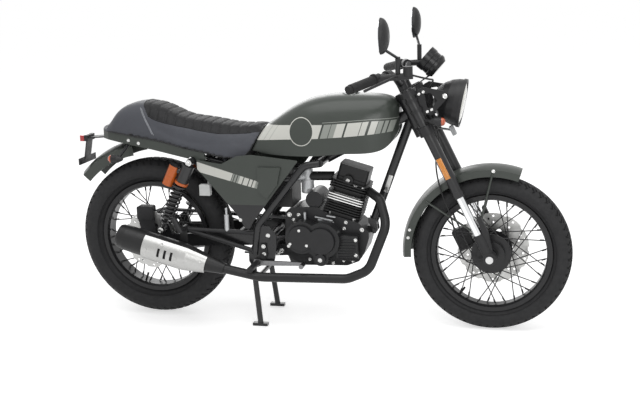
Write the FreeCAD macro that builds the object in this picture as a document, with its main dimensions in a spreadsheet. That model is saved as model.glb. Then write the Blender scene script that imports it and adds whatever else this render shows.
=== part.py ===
import FreeCAD, Part
import math
import os
import re

# Cafe racer motorcycle as a parametric document, in millimetres.
# X points forward, Y to the left and Z up, from the floor below the middle of the machine.
# Places along the machine are given from the rear axle, and place() moves them to that frame.

SIZES = {
    # Whole machine
    "wheelbase": 1350.0,
    "rear_axle_height": 326.0,
    "clearance": 0.3,
    "overrun": 40.0,
    # Tyres and rims
    "front_tyre_radius": 300.0,
    "front_tyre_width": 100.0,
    "rear_tyre_radius": 320.0,
    "rear_tyre_width": 130.0,
    "tyre_crown_drop": 20.0,
    "rim_seat_radius": 216.0,
    "rim_flange_radius": 228.0,
    "rim_inner_radius": 206.0,
    "rim_edge_radius": 212.0,
    "rim_flange": 5.0,
    "rim_taper": 12.0,
    "front_rim_width": 64.0,
    "rear_rim_width": 84.0,
    # Hubs and spokes
    "axle_radius": 9.0,
    "running_gap": 0.05,
    "hub_flange_radius": 76.0,
    "hub_flange_inner": 29.0,
    "hub_flange_outer": 33.0,
    "hub_barrel_radius": 42.0,
    "hub_boss_radius": 52.0,
    "hub_nose_radius": 28.0,
    "hub_nose": 4.0,
    "spoke_radius": 2.0,
    "spoke_hub_radius": 73.0,
    "spoke_rim_gap": 0.8,
    "spoke_outer_hub": 35.7,
    "spoke_outer_rim": 12.0,
    "spoke_inner_hub": 26.6,
    "spoke_inner_rim": 4.0,
    "spoke_angle": 46.0,
    "spoke_count": 18,
    # Brake discs and rear sprocket
    "disc_thickness": 4.0,
    "front_disc_radius": 138.0,
    "front_disc_place": 56.0,
    "rear_disc_radius": 117.0,
    "rear_disc_place": 78.0,
    "disc_scallop_radius": 16.0,
    "disc_scallop_depth": 6.0,
    "disc_hole_radius": 4.5,
    "disc_window_radius": 15.0,
    "disc_wave_count": 10,
    "chain_place": 80.0,
    "chain_pitch": 12.7,
    "sprocket_thickness": 5.0,
    "sprocket_teeth_count": 43,
    "drive_sprocket_teeth_count": 16,
    "sprocket_tooth": 5.0,
    "sprocket_root": 4.4,
    "roller_radius": 4.2,
    "sprocket_window_radius": 17.0,
    # Fork and steering
    "rake_angle": 26.0,
    "fork_offset": 38.0,
    "fork_half_width": 95.0,
    "fork_tube_radius": 21.0,
    "fork_tube_bottom": 257.0,
    "fork_tube_top": 702.0,
    "fork_seal_radius": 23.0,
    "fork_seal_height": 26.0,
    "stanchion_radius": 15.5,
    "stanchion_engaged": 30.0,
    "slider_radius": 20.5,
    "slider_top": 100.0,
    "slider_pocket": 38.0,
    "axle_boss_radius": 25.0,
    "axle_boss_width": 42.0,
    "axle_head_radius": 14.0,
    "axle_head": 7.0,
    "stem_radius": 17.0,
    "head_tube_radius": 27.0,
    "yoke_radius": 31.0,
    "yoke_web_front": 48.0,
    "yoke_web_rear": 27.0,
    "steering_gap": 6.0,
    "lower_web_rear": 24.0,
    "lower_yoke_place": 518.0,
    "lower_yoke_height": 34.0,
    "upper_yoke_place": 673.0,
    "upper_yoke_height": 22.0,
    "head_gap": 0.5,
    "horn_x": 1202.0,
    "horn_z": 767.0,
    "horn_width": 38.0,
    "horn_thickness": 12.0,
    "horn_arm_radius": 4.0,
    # Handlebar, grips and controls
    "bar_radius": 11.0,
    "bar_bend_radius": 45.0,
    "bar_straight": 76.0,
    "riser_place": 42.0,
    "riser_height": 34.0,
    "riser_radius": 18.0,
    "riser_forward": 20.0,
    "bar_rise_x": 1008.0,
    "bar_rise_y": 185.0,
    "bar_rise_z": 996.0,
    "bar_turn_x": 985.0,
    "bar_turn_y": 240.0,
    "bar_turn_z": 996.0,
    "bar_end_x": 893.0,
    "bar_end_y": 378.0,
    "bar_end_z": 966.0,
    "grip_radius": 17.0,
    "grip_length": 122.0,
    "grip_flange_radius": 22.0,
    "grip_flange": 6.0,
    "bar_weight_radius": 15.0,
    "bar_weight": 12.0,
    "control_body_radius": 12.0,
    "control_ring_radius": 17.5,
    "control_ring": 20.0,
    "control_tip_x": 1092.0,
    "control_tip_y": 262.0,
    "control_tip_z": 1000.0,
    "brake_reservoir_radius": 17.0,
    "brake_reservoir_height": 34.0,
    "lever_radius": 5.0,
    "lever_bend_x": 1022.0,
    "lever_bend_y": 300.0,
    "lever_end_x": 945.0,
    "lever_end_y": 396.0,
    "lever_end_z": 962.0,
    # Frame
    "frame_half_width": 124.0,
    "backbone_radius": 20.0,
    "backbone_x": 715.0,
    "backbone_z": 655.0,
    "backbone_drop": 61.0,
    "downtube_radius": 17.0,
    "downtube_rise": 53.0,
    "downtube_x": 893.0,
    "downtube_z": 402.0,
    "frame_tube_radius": 14.0,
    "frame_bend_radius": 55.0,
    "side_tube_x": 652.0,
    "side_tube_z": 646.0,
    "side_tube_low_x": 461.0,
    "side_tube_low_z": 405.0,
    "side_tube_end_x": 445.0,
    "side_tube_end_z": 292.0,
    "cross_tube_radius": 12.0,
    "mount_x": 508.0,
    "mount_z": 284.0,
    "front_mount_x": 897.0,
    "front_mount_z": 378.0,
    "mount_bolt_radius": 6.0,
    "mount_half_width": 15.0,
    "mount_plate": 5.0,
    "lug_inner": 28.0,
    "lug_thickness": 16.0,
    "pivot_x": 499.0,
    "pivot_z": 355.0,
    "pivot_plate": 8.0,
    "pivot_bolt_radius": 8.0,
    # Subframe
    "rail_radius": 11.0,
    "cross_brace_radius": 9.0,
    "cross_brace_x": 262.0,
    "rail_front_x": 606.0,
    "rail_front_z": 588.0,
    "rail_mid_x": 430.0,
    "rail_mid_y": 98.0,
    "rail_mid_z": 626.0,
    "rail_rear_x": -120.0,
    "rail_rear_y": 62.0,
    "rail_rear_z": 738.0,
    "strut_radius": 9.0,
    # Swingarm
    "arm_inner": 94.0,
    "arm_thickness": 15.5,
    "arm_pivot_radius": 27.0,
    "arm_axle_radius": 24.0,
    "arm_brace_x": 352.0,
    "arm_brace_radius": 12.0,
    "pivot_tube_radius": 16.0,
    "shock_lug_radius": 14.0,
    # Shocks
    "shock_y": 148.0,
    "shock_top_x": 206.0,
    "shock_top_z": 657.0,
    "shock_low_x": 74.0,
    "shock_low_z": 386.0,
    "shock_eye_radius": 14.0,
    "shock_eye_width": 22.0,
    "shock_stud_radius": 6.0,
    "shock_rod_radius": 7.0,
    "damper_radius": 15.0,
    "spring_radius": 22.0,
    "spring_wire_radius": 4.0,
    "spring_pitch": 17.0,
    "spring_seat_radius": 27.0,
    "spring_seat": 5.0,
    "spring_low": 40.0,
    "spring_high": 205.0,
    "shock_cap_radius": 24.0,
    "reservoir_radius": 21.0,
    "reservoir_length": 84.0,
    "reservoir_back": 50.0,
    "reservoir_high": 262.0,
    # Engine
    "engine_x": 552.0,
    "engine_length": 335.0,
    "engine_z": 238.0,
    "engine_height": 234.0,
    "engine_half_width": 66.0,
    "case_corner_radius": 14.0,
    "barrel_x": 785.0,
    "barrel_z": 432.0,
    "barrel_angle": 16.0,
    "barrel_rear": 70.0,
    "barrel_front": 64.0,
    "fin_rear": 84.0,
    "fin_front": 64.0,
    "fin_half_width": 68.0,
    "fin_thickness": 3.5,
    "fin_pitch": 10.0,
    "fin_corner": 14.0,
    "barrel_core": 12.0,
    "barrel_height": 104.0,
    "head_height": 50.0,
    "cover_height": 48.0,
    "barrel_fin_count": 9,
    "head_fin_count": 4,
    "clutch_x": 634.0,
    "clutch_z": 364.0,
    "clutch_radius": 64.0,
    "clutch_cap_radius": 52.0,
    "crank_x": 714.0,
    "crank_z": 354.0,
    "crank_radius": 70.0,
    "crank_cap_radius": 54.0,
    "oil_x": 709.0,
    "oil_z": 284.0,
    "oil_radius": 30.0,
    "oil_cap_radius": 21.0,
    "right_cover": 62.0,
    "right_cap": 12.0,
    "front_cover_x": 808.0,
    "front_cover_z": 327.0,
    "front_cover_length": 84.0,
    "front_cover_height": 88.0,
    "front_cover": 40.0,
    "left_cover": 52.0,
    "sprocket_cover_inner": 93.0,
    "sprocket_cover_outer": 106.0,
    "drive_sprocket_x": 586.0,
    "drive_sprocket_z": 357.0,
    "starter_x": 672.0,
    "starter_z": 500.0,
    "starter_radius": 33.0,
    "starter_half_width": 60.0,
    # Carburettor and air box
    "carb_x": 640.0,
    "carb_y": -20.0,
    "carb_z": 586.0,
    "carb_radius": 21.0,
    "carb_half_height": 26.0,
    "bowl_radius": 25.0,
    "bowl_height": 22.0,
    "carb_cap_radius": 16.0,
    "carb_cap": 26.0,
    "manifold_radius": 18.0,
    "boot_radius": 20.7,
    "airbox_x": 398.0,
    "airbox_length": 190.0,
    "airbox_half_width": 70.0,
    "airbox_z": 470.0,
    "airbox_height": 132.0,
    # Exhaust
    "pipe_radius": 18.0,
        "pipe_x": 345.0,
    "pipe_length": 640.0,
    "pipe_depth": 206.0,
    "pipe_z": 213.0,
    "pipe_height": 340.0,
    "muffler_y": -206.0,
    "muffler_front_x": 345.0,
    "muffler_front_z": 252.0,
    "muffler_rear_x": -82.0,
    "muffler_rear_z": 372.0,
    "muffler_radius": 50.0,
    "muffler_end_radius": 44.0,
    "outlet_radius": 14.0,
    "outlet_depth": 60.0,
    "tank_front_x": 1005.0,
    "shield_gap": 5.0,
    "shield_thickness": 2.0,
    "shield_wrap_angle": 110.0,
    # Tank
    "tank_length": 580.0,
    "tank_z": 682.0,
    "tank_height": 226.0,
    "tank_half_width": 130.0,
    "tank_tunnel_half_width": 31.0,
    "seam_low_ahead": 13.0,
    "seam_low_z": 694.0,
    "seam_high_ahead": 67.0,
    "seam_high_z": 793.0,
    "cap_x": 815.0,
    "cap_radius": 33.0,
    "cap_height": 5.0,
    # Seat and tail
    "seat_length": 690.0,
    "seat_half_width": 128.0,
    "seat_low_z": 664.0,
    "seat_rise": 112.0,
    "seat_height": 220.0,
    "seat_gap": 3.0,
    "seat_foot_radius": 12.0,
    "seat_foot_front_x": 330.0,
    "seat_foot_rear_x": -70.0,
    "band_depth": 38.0,
    "band_thickness": 4.0,
    # Side covers
    "side_cover_y": 139.0,
    "side_cover_thickness": 4.0,
    "side_cover_x": 215.0,
    "side_cover_length": 420.0,
    "side_cover_z": 398.0,
    "side_cover_height": 290.0,
    "scoop_depth": 14.0,
    # Fenders
    "front_fender_radius": 342.0,
    "fender_half_width": 60.0,
    "fender_thickness": 2.5,
    "front_fender_depth": 40.0,
    "front_fender_start_angle": 71.0,
    "front_fender_sweep_angle": 112.0,
    "rear_fender_radius": 402.0,
    "rear_fender_half_width": 72.0,
    "rear_fender_depth": 58.0,
    "rear_fender_start_angle": 100.0,
    "rear_fender_sweep_angle": 38.0,
    "stay_radius": 4.0,
    "front_stay_angle": 89.0,
    "rear_stay_angle": 140.0,
    # Headlight, gauge, mirrors and lamps
    "headlight_x": 1230.0,
    "headlight_z": 870.0,
    "headlight_angle": 10.5,
    "headlight_radius": 88.0,
    "headlight_depth": 98.0,
    "headlight_ring": 12.0,
    "headlight_ring_lip": 3.0,
    "lens_bulge": 10.0,
    "bracket_thickness": 4.0,
    "bracket_y": 92.0,
    "bracket_bolt_x": 1176.0,
    "bracket_bolt_z": 903.0,
    "gauge_x": 1100.0,
    "gauge_z": 1040.0,
    "gauge_angle": 41.0,
    "gauge_radius": 47.0,
    "gauge_depth": 66.0,
    "mirror_x": 1000.0,
    "mirror_y": 376.0,
    "mirror_z": 1146.0,
    "mirror_half_height": 62.0,
    "mirror_half_width": 44.0,
    "mirror_depth": 30.0,
    "mirror_glass": 2.0,
    "cord_radius": 3.5,
    "mirror_stem_radius": 5.0,
    "mirror_post_radius": 9.0,
    "mirror_base_x": 1040.0,
    "mirror_base_y": 264.3,
    "mirror_base_z": 1008.3,
    "front_lamp_x": 1176.0,
    "front_lamp_y": 134.0,
    "front_lamp_z": 819.0,
    "front_lamp_radius": 16.0,
    "front_lamp_length": 46.0,
    "rear_lamp_x": -108.0,
    "rear_lamp_y": 172.0,
    "rear_lamp_z": 670.0,
    "lamp_stem_radius": 6.0,
    "tail_lamp_x": -306.0,
    "tail_lamp_z": 726.0,
    "tail_lamp_length": 34.0,
    "tail_lamp_width": 64.0,
    "tail_lamp_height": 24.0,
    "lamp_bracket_width": 52.0,
    "lamp_bracket": 5.0,
    "number_holder_x": -296.0,
    "number_holder_z": 636.0,
    "number_holder_width": 150.0,
    "number_hole_radius": 3.2,
    "number_hole_gap": 120.0,
    # Brake parts
    "caliper_slot": 7.0,
    "caliper_inner": 16.0,
    "caliper_outer": 23.0,
    "front_caliper_x": 1236.0,
    "front_caliper_z": 336.0,
    "front_caliper_length": 62.0,
    "front_caliper_height": 86.0,
    "rear_caliper_x": -16.0,
    "rear_caliper_z": 438.0,
    "rear_caliper_length": 66.0,
    "rear_caliper_height": 54.0,
    "master_x": 339.0,
    "master_top_z": 476.0,
    "master_radius": 9.0,
    "reservoir_x": 256.0,
    "reservoir_y": 128.0,
    "reservoir_z": 545.0,
    "reservoir_box_length": 42.0,
    "reservoir_box_width": 24.0,
    "reservoir_box_height": 42.0,
    # Footrests, pedals and stands
    "peg_radius": 12.0,
    "peg_spindle_radius": 9.0,
    "peg_bracket": 7.0,
    "peg_spindle": 12.0,
    "peg_length": 92.0,
    "peg_x": 458.0,
    "peg_z": 262.0,
    "peg_y": 138.0,
    "rear_peg_x": 172.0,
    "rear_peg_z": 392.0,
    "hanger_y": 152.0,
    "hanger_radius": 14.5,
    "hanger_half_width": 16.0,
    "hanger_high_share": 0.25,
    "hanger_low_share": 0.9,
    "rear_peg_y": 214.0,
    "rear_peg_length": 52.0,
    "pedal_thickness": 8.0,
    "pedal_length": 186.0,
    "pedal_toe": 46.0,
    "gear_shaft_x": 592.0,
    "gear_shaft_z": 270.0,
    "gear_shaft_radius": 7.0,
    "gear_lever_length": 66.0,
    "gear_lever_y": 142.0,
    "stand_pivot_x": 430.0,
    "stand_pivot_z": 262.0,
    "stand_half_width": 107.0,
    "stand_tube_radius": 11.0,
    "stand_foot_x": 456.0,
    "stand_foot_spread": 124.0,
    "stand_foot_height": 12.0,
    "stand_foot_length": 60.0,
    "side_stand_x": 540.0,
    "side_stand_y": 146.0,
    "side_stand_z": 222.0,
    "side_stand_length": 205.0,
    "side_stand_lean_angle": 27.0,
    "side_stand_pin_radius": 6.0,
    "side_stand_eye": 22.0,
    "side_stand_radius": 9.0,
}

doc = FreeCAD.newDocument("cafe_racer")
sheet = doc.addObject("Spreadsheet::Sheet", "Sizes")
for row, (alias, value) in enumerate(SIZES.items(), start=1):
    sheet.set("A%d" % row, alias)
    sheet.set("B%d" % row, str(value))
    sheet.setAlias("B%d" % row, alias)
doc.recompute()


class Values:
    """The sheet's cells, read back by name."""


s = Values()
for alias in SIZES:
    setattr(s, alias, float(sheet.get(alias)))

V = FreeCAD.Vector
FORWARD = V(1, 0, 0)
LEFT = V(0, 1, 0)
UP = V(0, 0, 1)
SIDES = (-1, 1)
middle = (s.wheelbase + s.front_tyre_radius - s.rear_tyre_radius) / 2
rake = math.radians(s.rake_angle)
STEER_UP = V(-math.sin(rake), 0, math.cos(rake))
STEER_FORWARD = V(math.cos(rake), 0, math.sin(rake))
tilt = math.radians(s.barrel_angle)
BARREL_UP = V(math.sin(tilt), 0, math.cos(tilt))
BARREL_FORWARD = V(math.cos(tilt), 0, -math.sin(tilt))
backbone_up = s.upper_yoke_place - s.backbone_drop
downtube_up = s.lower_yoke_place + s.lower_yoke_height + s.downtube_rise
tank_x = s.tank_front_x - s.tank_length
seam_low_x = tank_x + s.seam_low_ahead
seam_high_x = tank_x + s.seam_high_ahead
seat_x = seam_high_x - s.seat_length
nodes = []


def place(x, y, z):
    """A point x ahead of the rear axle, y to the left and z above the floor."""
    return V(x - middle, y, z)


front_axle = place(s.wheelbase, 0, s.front_tyre_radius)
rear_axle = place(0, 0, s.rear_axle_height)
steer_foot = front_axle - STEER_FORWARD * s.fork_offset
barrel_foot = place(s.barrel_x, 0, s.barrel_z)


def steer(forward, left, up):
    """A point beside the steering axis, with up measured along that axis."""
    return steer_foot + STEER_FORWARD * forward + LEFT * left + STEER_UP * up


def barrel(forward, left, up):
    """A point beside the cylinder's axis, with up measured along that axis."""
    return barrel_foot + BARREL_FORWARD * forward + LEFT * left + BARREL_UP * up


def on_line(start, end, share):
    """The point at a share of the way from start to end."""
    return start + (end - start) * share


def expression(text):
    """The text with each sheet alias written as a reference to the sheet."""
    return re.sub(r"[a-z_]+", lambda m: "Sizes." + m.group() if m.group() in SIZES else m.group(), text)


def size(item, prop, value):
    """Binds a property to the sheet, or sets a length that was worked out from it."""
    if isinstance(value, str):
        item.setExpression(prop, expression(value))
    else:
        setattr(item, prop, value)


def turned(direction):
    return FreeCAD.Rotation(UP, direction)


def cylinder(name, start, direction, length, radius):
    item = doc.addObject("Part::Cylinder", name)
    size(item, "Radius", radius)
    size(item, "Height", length)
    item.Placement = FreeCAD.Placement(start, turned(direction))
    return item


def rod(name, start, end, radius):
    return cylinder(name, start, end - start, (end - start).Length, radius)


def cross_rod(name, centre, half_width, radius):
    """A rod across the machine, as far to the left as to the right of centre."""
    return rod(name, centre - LEFT * half_width, centre + LEFT * half_width, radius)


def cone(name, start, end, first_radius, last_radius):
    item = doc.addObject("Part::Cone", name)
    size(item, "Radius1", first_radius)
    size(item, "Radius2", last_radius)
    size(item, "Height", (end - start).Length)
    item.Placement = FreeCAD.Placement(start, turned(end - start))
    return item


def ball(name, centre, radius):
    item = doc.addObject("Part::Sphere", name)
    size(item, "Radius", radius)
    item.Placement = FreeCAD.Placement(centre, FreeCAD.Rotation())
    return item


def box(name, centre, length, width, height, ahead=FORWARD):
    """A block round centre, its length along ahead and its width across the machine."""
    item = doc.addObject("Part::Box", name)
    size(item, "Length", length)
    size(item, "Width", width)
    size(item, "Height", height)
    turn = FreeCAD.Rotation(FORWARD, ahead)
    half = turn.multVec(V(length, width, height) / 2)
    item.Placement = FreeCAD.Placement(centre - half, turn)
    return item


def drawn(name, edges):
    """A closed or open outline, which the features below extrude, turn or follow."""
    item = doc.addObject("Part::Feature", name)
    item.Shape = Part.Wire(edges)
    return item


def rounded(points, radii, closed=True):
    """Straight edges through the points, with an arc of its radius at each corner."""
    count = len(points)
    if not isinstance(radii, (list, tuple)):
        radii = [radii] * count
    corners = []
    for i, point in enumerate(points):
        before = points[i - 1]
        after = points[(i + 1) % count]
        if radii[i] == 0 or (not closed and i in (0, count - 1)):
            corners.append((point, None, point))
            continue
        back = (before - point).normalize()
        ahead = (after - point).normalize()
        half_turn = (back.getAngle(ahead)) / 2
        reach = radii[i] / math.tan(half_turn)
        start = point + back * reach
        end = point + ahead * reach
        inward = (back + ahead).normalize()
        centre = point + inward * (radii[i] / math.sin(half_turn))
        corners.append((start, centre - inward * radii[i], end))
    edges = []
    for i, (start, mid, end) in enumerate(corners):
        if mid is not None:
            edges.append(Part.Arc(start, mid, end).toShape())
        if closed or i < count - 1:
            following = corners[(i + 1) % count][0]
            if (following - end).Length > s.clearance / s.overrun:
                edges.append(Part.LineSegment(end, following).toShape())
    return edges


def plate(name, points, direction, length, radii=0):
    """An outline pushed out along a direction."""
    item = doc.addObject("Part::Extrusion", name)
    item.Base = drawn(name + "_outline", rounded(points, radii))
    item.DirMode = "Custom"
    item.Dir = direction
    size(item, "LengthFwd", length)
    item.Solid = True
    return item


def spun(name, edges, centre, axis, angle=360):
    """An outline turned about an axis."""
    item = doc.addObject("Part::Revolution", name)
    item.Source = drawn(name + "_outline", edges)
    item.Base = centre
    item.Axis = axis
    size(item, "Angle", angle)
    item.Solid = True
    return item


def turned_profile(name, start, axis, out, points, angle=360):
    """A body of revolution from pairs of a distance along the axis and a radius."""
    corners = [start + axis * along + out * radius for along, radius in points]
    return spun(name, rounded(corners, 0), start, axis, angle)


def bent_tube(name, points, bend, radius):
    """A round tube that follows straight runs joined by arcs."""
    path = drawn(name + "_path", rounded(points, bend, closed=False))
    ring = doc.addObject("Part::Circle", name + "_section")
    size(ring, "Radius", radius)
    ring.Placement = FreeCAD.Placement(points[0], turned(points[1] - points[0]))
    item = doc.addObject("Part::Sweep", name)
    item.Sections = [ring]
    item.Spine = (path, ["Edge%d" % (i + 1) for i in range(len(path.Shape.Edges))])
    item.Solid = True
    item.Frenet = False
    return item


def lofted(name, sections):
    item = doc.addObject("Part::Loft", name)
    item.Sections = sections
    item.Solid = True
    item.Ruled = False
    return item


def fuse(name, items):
    item = doc.addObject("Part::MultiFuse", name)
    item.Shapes = items
    item.Refine = True
    return item


def cut(name, base, tools):
    """The base less its tools."""
    tool = tools[0] if len(tools) == 1 else together(name + "_tools", tools)
    item = doc.addObject("Part::Cut", name)
    item.Base = base
    item.Tool = tool
    return item


def common(name, first, second):
    item = doc.addObject("Part::Common", name)
    item.Base = first
    item.Tool = second
    return item


def together(name, items):
    """Solids kept apart in one piece, such as a pair of footrests."""
    item = doc.addObject("Part::Compound", name)
    item.Links = items
    return item


def mirrored(name, source):
    """The same piece on the other side of the machine."""
    item = doc.addObject("Part::Mirroring", name)
    item.Source = source
    item.Base = V(0, 0, 0)
    item.Normal = LEFT
    return item


def keep(item, label):
    """Marks an object as one of the part's pieces."""
    item.Label = label
    nodes.append(item)
    return item


def shared_points(low_x, length, low_z, height, y, shares):
    """Outline points from shares of a length and a height."""
    return [place(low_x + length * u, y, low_z + height * w) for u, w in shares]


# Wheels

def tyre(name, centre, radius, width, rim_width):
    seat = s.rim_seat_radius + s.clearance
    inner = rim_width / 2 - s.rim_flange - s.clearance
    edge = s.rim_flange_radius + s.clearance
    shoulder = radius - s.tyre_crown_drop
    bulge_share = 0.42
    shoulder_share = 0.43
    bulge = edge + (shoulder - edge) * bulge_share

    def at(r, y):
        return centre + UP * r + LEFT * y

    edges = [
        Part.LineSegment(at(seat, -inner), at(seat, inner)).toShape(),
        Part.LineSegment(at(seat, inner), at(edge, inner)).toShape(),
        Part.LineSegment(at(edge, inner), at(edge + s.clearance, rim_width / 2)).toShape(),
        Part.Arc(at(edge + s.clearance, rim_width / 2), at(bulge, width / 2),
                 at(shoulder, width * shoulder_share)).toShape(),
        Part.Arc(at(shoulder, width * shoulder_share), at(radius, 0),
                 at(shoulder, -width * shoulder_share)).toShape(),
        Part.Arc(at(shoulder, -width * shoulder_share), at(bulge, -width / 2),
                 at(edge + s.clearance, -rim_width / 2)).toShape(),
        Part.LineSegment(at(edge + s.clearance, -rim_width / 2), at(edge, -inner)).toShape(),
        Part.LineSegment(at(edge, -inner), at(seat, -inner)).toShape(),
    ]
    return keep(spun(name, edges, centre, LEFT), name)


def rim(name, centre, rim_width):
    half = rim_width / 2
    section = [
        (-half, s.rim_edge_radius), (-half + s.rim_taper, s.rim_inner_radius),
        (half - s.rim_taper, s.rim_inner_radius), (half, s.rim_edge_radius),
        (half, s.rim_flange_radius), (half - s.rim_flange, s.rim_flange_radius),
        (half - s.rim_flange, s.rim_seat_radius), (-half + s.rim_flange, s.rim_seat_radius),
        (-half + s.rim_flange, s.rim_flange_radius), (-half, s.rim_flange_radius),
    ]
    return keep(turned_profile(name, centre, LEFT, UP, section), name)


def spokes(name, centre):
    """Crossed spokes: the outer pair of each hub flange and the inner one lean opposite ways."""
    rim_radius = s.rim_inner_radius - s.spoke_rim_gap
    step = 360 / s.spoke_count
    items = []
    for side in SIDES:
        for turn, hub_y, rim_y in ((1, s.spoke_outer_hub, s.spoke_outer_rim),
                                   (-1, s.spoke_inner_hub, s.spoke_inner_rim)):
            for i in range(int(s.spoke_count / 2)):
                rim_angle = math.radians(2 * step * i + (turn + side / 2 + 1) * step / 2)
                hub_angle = rim_angle + turn * math.radians(s.spoke_angle)
                hub_dir = V(math.cos(hub_angle), 0, math.sin(hub_angle))
                rim_dir = V(math.cos(rim_angle), 0, math.sin(rim_angle))
                start = centre + hub_dir * s.spoke_hub_radius + LEFT * side * hub_y
                end = centre + rim_dir * rim_radius + LEFT * side * rim_y
                items.append(rod("%s_%d" % (name, len(items)), start, end, "spoke_radius"))
    return keep(together(name, items), name)


def hub(name, centre, right_end, left_end):
    """A hub with two spoke flanges, a disc seat at one end and a seat at the other."""
    bore = s.axle_radius + s.running_gap
    section = [
        (-right_end - s.disc_thickness - s.hub_nose, bore),
        (-right_end - s.disc_thickness - s.hub_nose, s.hub_nose_radius),
        (-right_end, s.hub_nose_radius), (-right_end, s.hub_boss_radius),
        (-s.hub_flange_outer, s.hub_boss_radius), (-s.hub_flange_outer, s.hub_flange_radius),
        (-s.hub_flange_inner, s.hub_flange_radius), (-s.hub_flange_inner, s.hub_barrel_radius),
        (s.hub_flange_inner, s.hub_barrel_radius), (s.hub_flange_inner, s.hub_flange_radius),
        (s.hub_flange_outer, s.hub_flange_radius), (s.hub_flange_outer, s.hub_boss_radius),
        (left_end, s.hub_boss_radius), (left_end, s.hub_nose_radius),
        (left_end + s.disc_thickness + s.hub_nose, s.hub_nose_radius),
        (left_end + s.disc_thickness + s.hub_nose, bore),
    ]
    return keep(turned_profile(name, centre, LEFT, UP, section), name)


def around(centre, radius, angle):
    turn = math.radians(angle)
    return centre + V(math.cos(turn), 0, math.sin(turn)) * radius


def brake_disc(name, centre, low_y, radius):
    """A wavy disc with cooling holes and windows, from a round blank and patterns of cutters."""
    face = centre + LEFT * low_y
    start = face - LEFT * s.overrun
    length = s.overrun * 2 + s.disc_thickness
    blank = cylinder(name + "_blank", face, LEFT, "disc_thickness", radius)
    cutters = [cylinder(name + "_bore", start, LEFT, length, s.hub_nose_radius + s.clearance)]
    step = 360 / s.disc_wave_count
    hole_row_shares = ((0.74, 0.0), (0.84, 0.25), (0.92, 0.0))
    window_share = 0.5
    for i in range(int(s.disc_wave_count)):
        edge = around(start, radius + s.disc_scallop_radius - s.disc_scallop_depth, i * step)
        cutters.append(cylinder("%s_wave_%d" % (name, i), edge, LEFT, length, "disc_scallop_radius"))
        for k, (ring_share, turn_share) in enumerate(hole_row_shares):
            spot = around(start, radius * ring_share, (i + 1 / 2 + turn_share) * step)
            cutters.append(cylinder("%s_hole_%d_%d" % (name, i, k), spot, LEFT, length, "disc_hole_radius"))
    window_count = int(s.disc_wave_count / 2)
    for i in range(window_count):
        spot = around(start, radius * window_share, i * 360 / window_count)
        cutters.append(cylinder("%s_window_%d" % (name, i), spot, LEFT, length, "disc_window_radius * 0.7"))
    return keep(cut(name, blank, cutters), name)


def toothed(name, centre, low_y, teeth):
    """A chain wheel: its teeth are straight-sided points round the pitch circle."""
    pitch_radius = s.chain_pitch * teeth / (2 * math.pi)
    root = pitch_radius - s.sprocket_root
    tip = pitch_radius + s.sprocket_tooth
    step = 360 / teeth
    face = centre + LEFT * low_y
    points = []
    tooth_shares = ((0.0, 0), (0.3, 0), (0.42, 1), (0.58, 1), (0.7, 0))
    for i in range(int(teeth)):
        for turn_share, on_tip in tooth_shares[1:]:
            radius = tip if on_tip else root
            points.append(around(face, radius, (i + turn_share) * step))
    return plate(name, points, LEFT, "sprocket_thickness")


def rear_sprocket():
    wheel = toothed("sprocket_blank", rear_axle, s.chain_place - s.sprocket_thickness / 2,
                    s.sprocket_teeth_count)
    start = rear_axle
    length = s.chain_place + s.overrun
    cutters = [cylinder("sprocket_bore", start, LEFT, length, s.hub_nose_radius + s.clearance)]
    ring_share = 0.68
    pitch_radius = s.chain_pitch * s.sprocket_teeth_count / (2 * math.pi)
    window_count = int(s.disc_wave_count / 2)
    for i in range(window_count):
        spot = around(start, pitch_radius * ring_share, (i + 1 / 2) * 360 / window_count)
        cutters.append(cylinder("sprocket_window_%d" % i, spot, LEFT, length,
                                "sprocket_window_radius * 0.7"))
    keep(cut("rear_sprocket", wheel, cutters), "rear_sprocket")


def wheels():
    tyre("front_tyre", front_axle, s.front_tyre_radius, s.front_tyre_width, s.front_rim_width)
    rim("front_rim", front_axle, s.front_rim_width)
    spokes("front_spokes", front_axle)
    hub("front_hub", front_axle, s.front_disc_place - s.disc_thickness, s.front_disc_place)
    brake_disc("front_disc", front_axle, s.front_disc_place, s.front_disc_radius)
    tyre("rear_tyre", rear_axle, s.rear_tyre_radius, s.rear_tyre_width, s.rear_rim_width)
    rim("rear_rim", rear_axle, s.rear_rim_width)
    spokes("rear_spokes", rear_axle)
    hub("rear_hub", rear_axle, s.rear_disc_place, s.chain_place - s.sprocket_thickness / 2)
    brake_disc("rear_disc", rear_axle, -s.rear_disc_place - s.disc_thickness, s.rear_disc_radius)
    rear_sprocket()


# Fork, yokes and axle

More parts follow.
